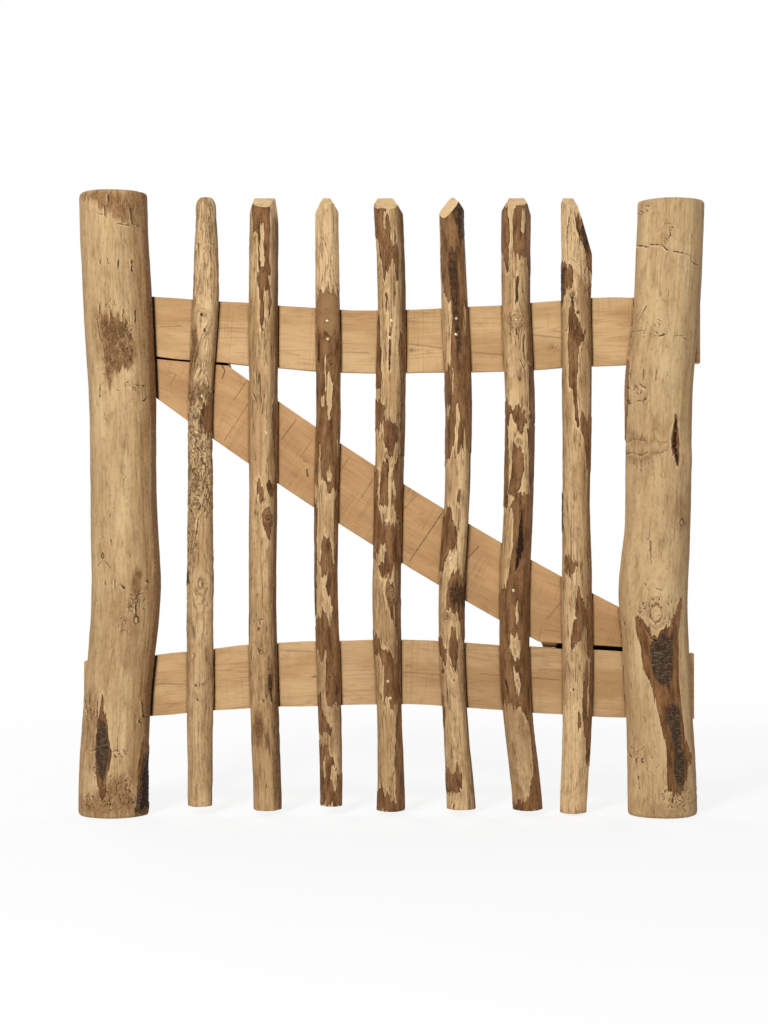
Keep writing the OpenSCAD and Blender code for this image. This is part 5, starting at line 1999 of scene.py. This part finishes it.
        (790, -21.8, 797, -17.9, 1.2, 0.8), (992, -14.6, 922, -11.4, 0.8, 0.5), (979, -6.5, 929, -1.6, 0.8, 0.5),
        (963, -21.2, 902, -17.9, 0.8, 0.4), (322, -6.2, 3.4, 0.4), (176, -8.1, 3.4, 0.4),
        (990, -16.3, 968, -17.1, 940, -21, 1, 0.5), (988, -8.4, 968, -5.2, 944, 0.7, 924, 10.6, 1.1, 0.6),
        (984, -12.4, 956, -11.2, 940, -5.2, 0.9, 0.4), (901, -25.1, 896, -14.6, 885, -6.5, 877, 0.7, 1.2, 0.2),
        (934, -21, 917, -19, 0.9, 0.4), (901, 14.7, 881, 7.5, 861, 14.7, 1.1, 0.6),
        (909, -14.6, 901, -3.2, 888, 6.6, 0.9, 0.4), (841, -11.4, 831, -9.7, 1.4, 0.7), (774, 3.3, 779, -3.2, 1, 0.6),
        (775, 8.2, 782, 9.2, 1, 0.6), (766, 13.1, 762, 16.3, 1, 0.6), (762, 4.9, 756, 3.3, 1, 0.6),
    ),
    stretches=stretches(
        (RIPPLED, 902, 995, 0.6, -SIDE, -6.5, 0.05), (RIPPLED, 841, 979, 0.7, -11.5, SIDE, 0.3),
        (SPLIT, 433, 612, 0.8),
    ),
))
BOARDS = (Board(
    "top_rail", RAIL_FINISH, 21, knots=((-176, 764, 4.5), (-408, 761, 3.0)), dark_foot=(-850, -712),
    nicks=nicks(
        (785.4, -208.3, 780.5, -159.1, 2.2, 0.25), (757.5, -310.1, 752.6, -257.6, 2.2, 0.25),
        (770.6, -415.1, 764.1, -356, 2.2, 0.25), (796.9, -723.5, 796.9, -677.6, 1.6, 0.3),
        (798.5, -820.3, 800.2, -784.2, 1.4, 0.2), (757.5, -516.8, 755.9, -475.8, 1.4, 0.2),
        (842.8, 66.6, 741.1, 67, 1.6, 0.7), (793.6, 60.1, 741.1, 58.1, 1.2, 0.5),
    ),
), Board(
    "bottom_rail", RAIL_FINISH, 22, knots=((-412, 242, 3.0), (-567, 226, 2.0)), dark_top=(-168, -58),
    browned=(-560, -430, 0.2),
    nicks=nicks(
        (232.5, -420, 227.6, -357.6, 1.6, 0.25), (229.2, -295.3, 219.4, -164, 1.6, 0.25),
        (212.8, -826.9, 212.8, -777.7, 1.6, 0.25), (224.3, -570.9, 224.3, -562.7, 2.4, 0.5),
        (268.6, -623.4, 265.3, -564.4, 2.2, 0.2),
    ),
), Board(
    "brace", BRACE_FINISH, 23, wear=1.4, closes_on=("top_rail", "bottom_rail"), dark_top=(-860, -712),
    dark_foot=(-168, -20),
    nicks=nicks(
        (678.8, -698.9, 713.2, -675.9, 1.2, 0.35), (611.5, -715.3, 672.2, -675.9, 1.2, 0.35),
        (613.1, -621.8, 645.9, -597.2, 1.4, 0.45), (516.3, -490.5, 549.1, -470.8, 1.2, 0.35),
        (413, -411.8, 493.4, -357.6, 1.4, 0.5), (496.6, -423.3, 522.9, -398.7, 1.2, 0.35),
        (419.5, -315, 439.2, -296.9, 1.4, 0.45), (319.4, -185.4, 349, -160.8, 1.2, 0.35),
        (739.5, -720.2, 726.3, -713.7, 1.8, 0.6), (726.3, -713.7, 713.2, -718.6, 1.8, 0.6),
        (303, -195.2, 298.1, -164, 1.6, 0.15), (303, -195.2, 285, -198.5, 1.6, 0.2),
        (703.4, -803.9, 721.4, -794.1, 1.2, 0.3), (583.6, -590.6, 613.1, -570.9, 1.2, 0.25),
        (550.8, -531.6, 586.9, -508.6, 1.2, 0.25), (367, -262.5, 398.2, -242.8, 1.2, 0.25),
        (565.5, -579.8, 552.4, -577.5, 2.4, 0.7), (579.7, -585.7, 577.7, -577.5, 1.8, 0.4),
        (514.7, -541.4, 511.4, -539.8, 1.6, 0.4),
    ),
))
FRONT_SCREWS = Screws(
    "front_screws", radius=2.1, depth=1.2, spots=(
        (-747.8, 808.8), (-750.1, 683.1), (-645.1, 623.8), (-545.7, 806.3), (-544.7, 777), (-543.4, 547.2),
        (-441.1, 806.3), (-442.7, 779.3), (-448.6, 480.8), (-446.6, 219.1), (-442.4, 191.8), (-335.4, 810.2),
        (-335.4, 784.1), (-344.6, 418.4), (-237.3, 807.9), (-242.2, 367.2), (-141.2, 322.2), (-143.1, 176.2),
    ),
)
BACK_SCREWS = Screws(
    "back_screws", radius=4.0, depth=2.0, from_back=True,
    spots=((-900, 826), (-872, 800), (-900, 222), (-872, 190), (-14, 812), (14, 780), (-14, 232), (14, 200)),
)


def main() -> None:
    """Builds the gate's looks in order and reports each piece."""
    logging.basicConfig(level=logging.INFO, format="%(message)s")
    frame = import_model()
    Studio().build()
    LOG.info("studio ready")
    finishes = (POLE_FINISH, PALE_FINISH, POLE_END, PALE_END, RAIL_FINISH, BRACE_FINISH, SCREW_FINISH)
    materials = {finish.name: finish.build() for finish in finishes}
    logs = []
    for log in (CLOSING_POLE, HANGING_POLE, *PALES):
        logs.append(log.build(frame, materials))
        LOG.info("%s: %d faces", logs[-1].name, len(logs[-1].data.polygons))
    boards = []
    for board in BOARDS:
        boards.append(board.build(frame, materials, (CLOSING_POLE, HANGING_POLE, *PALES)))
        LOG.info("%s: %d faces", boards[-1].name, len(boards[-1].data.polygons))
    for screws, targets in ((FRONT_SCREWS, logs), (BACK_SCREWS, boards)):
        piece = screws.build(targets, materials[SCREW_FINISH.name])
        LOG.info("%s: %d faces", piece.name, len(piece.data.polygons))


if __name__ == "__main__":
    main()
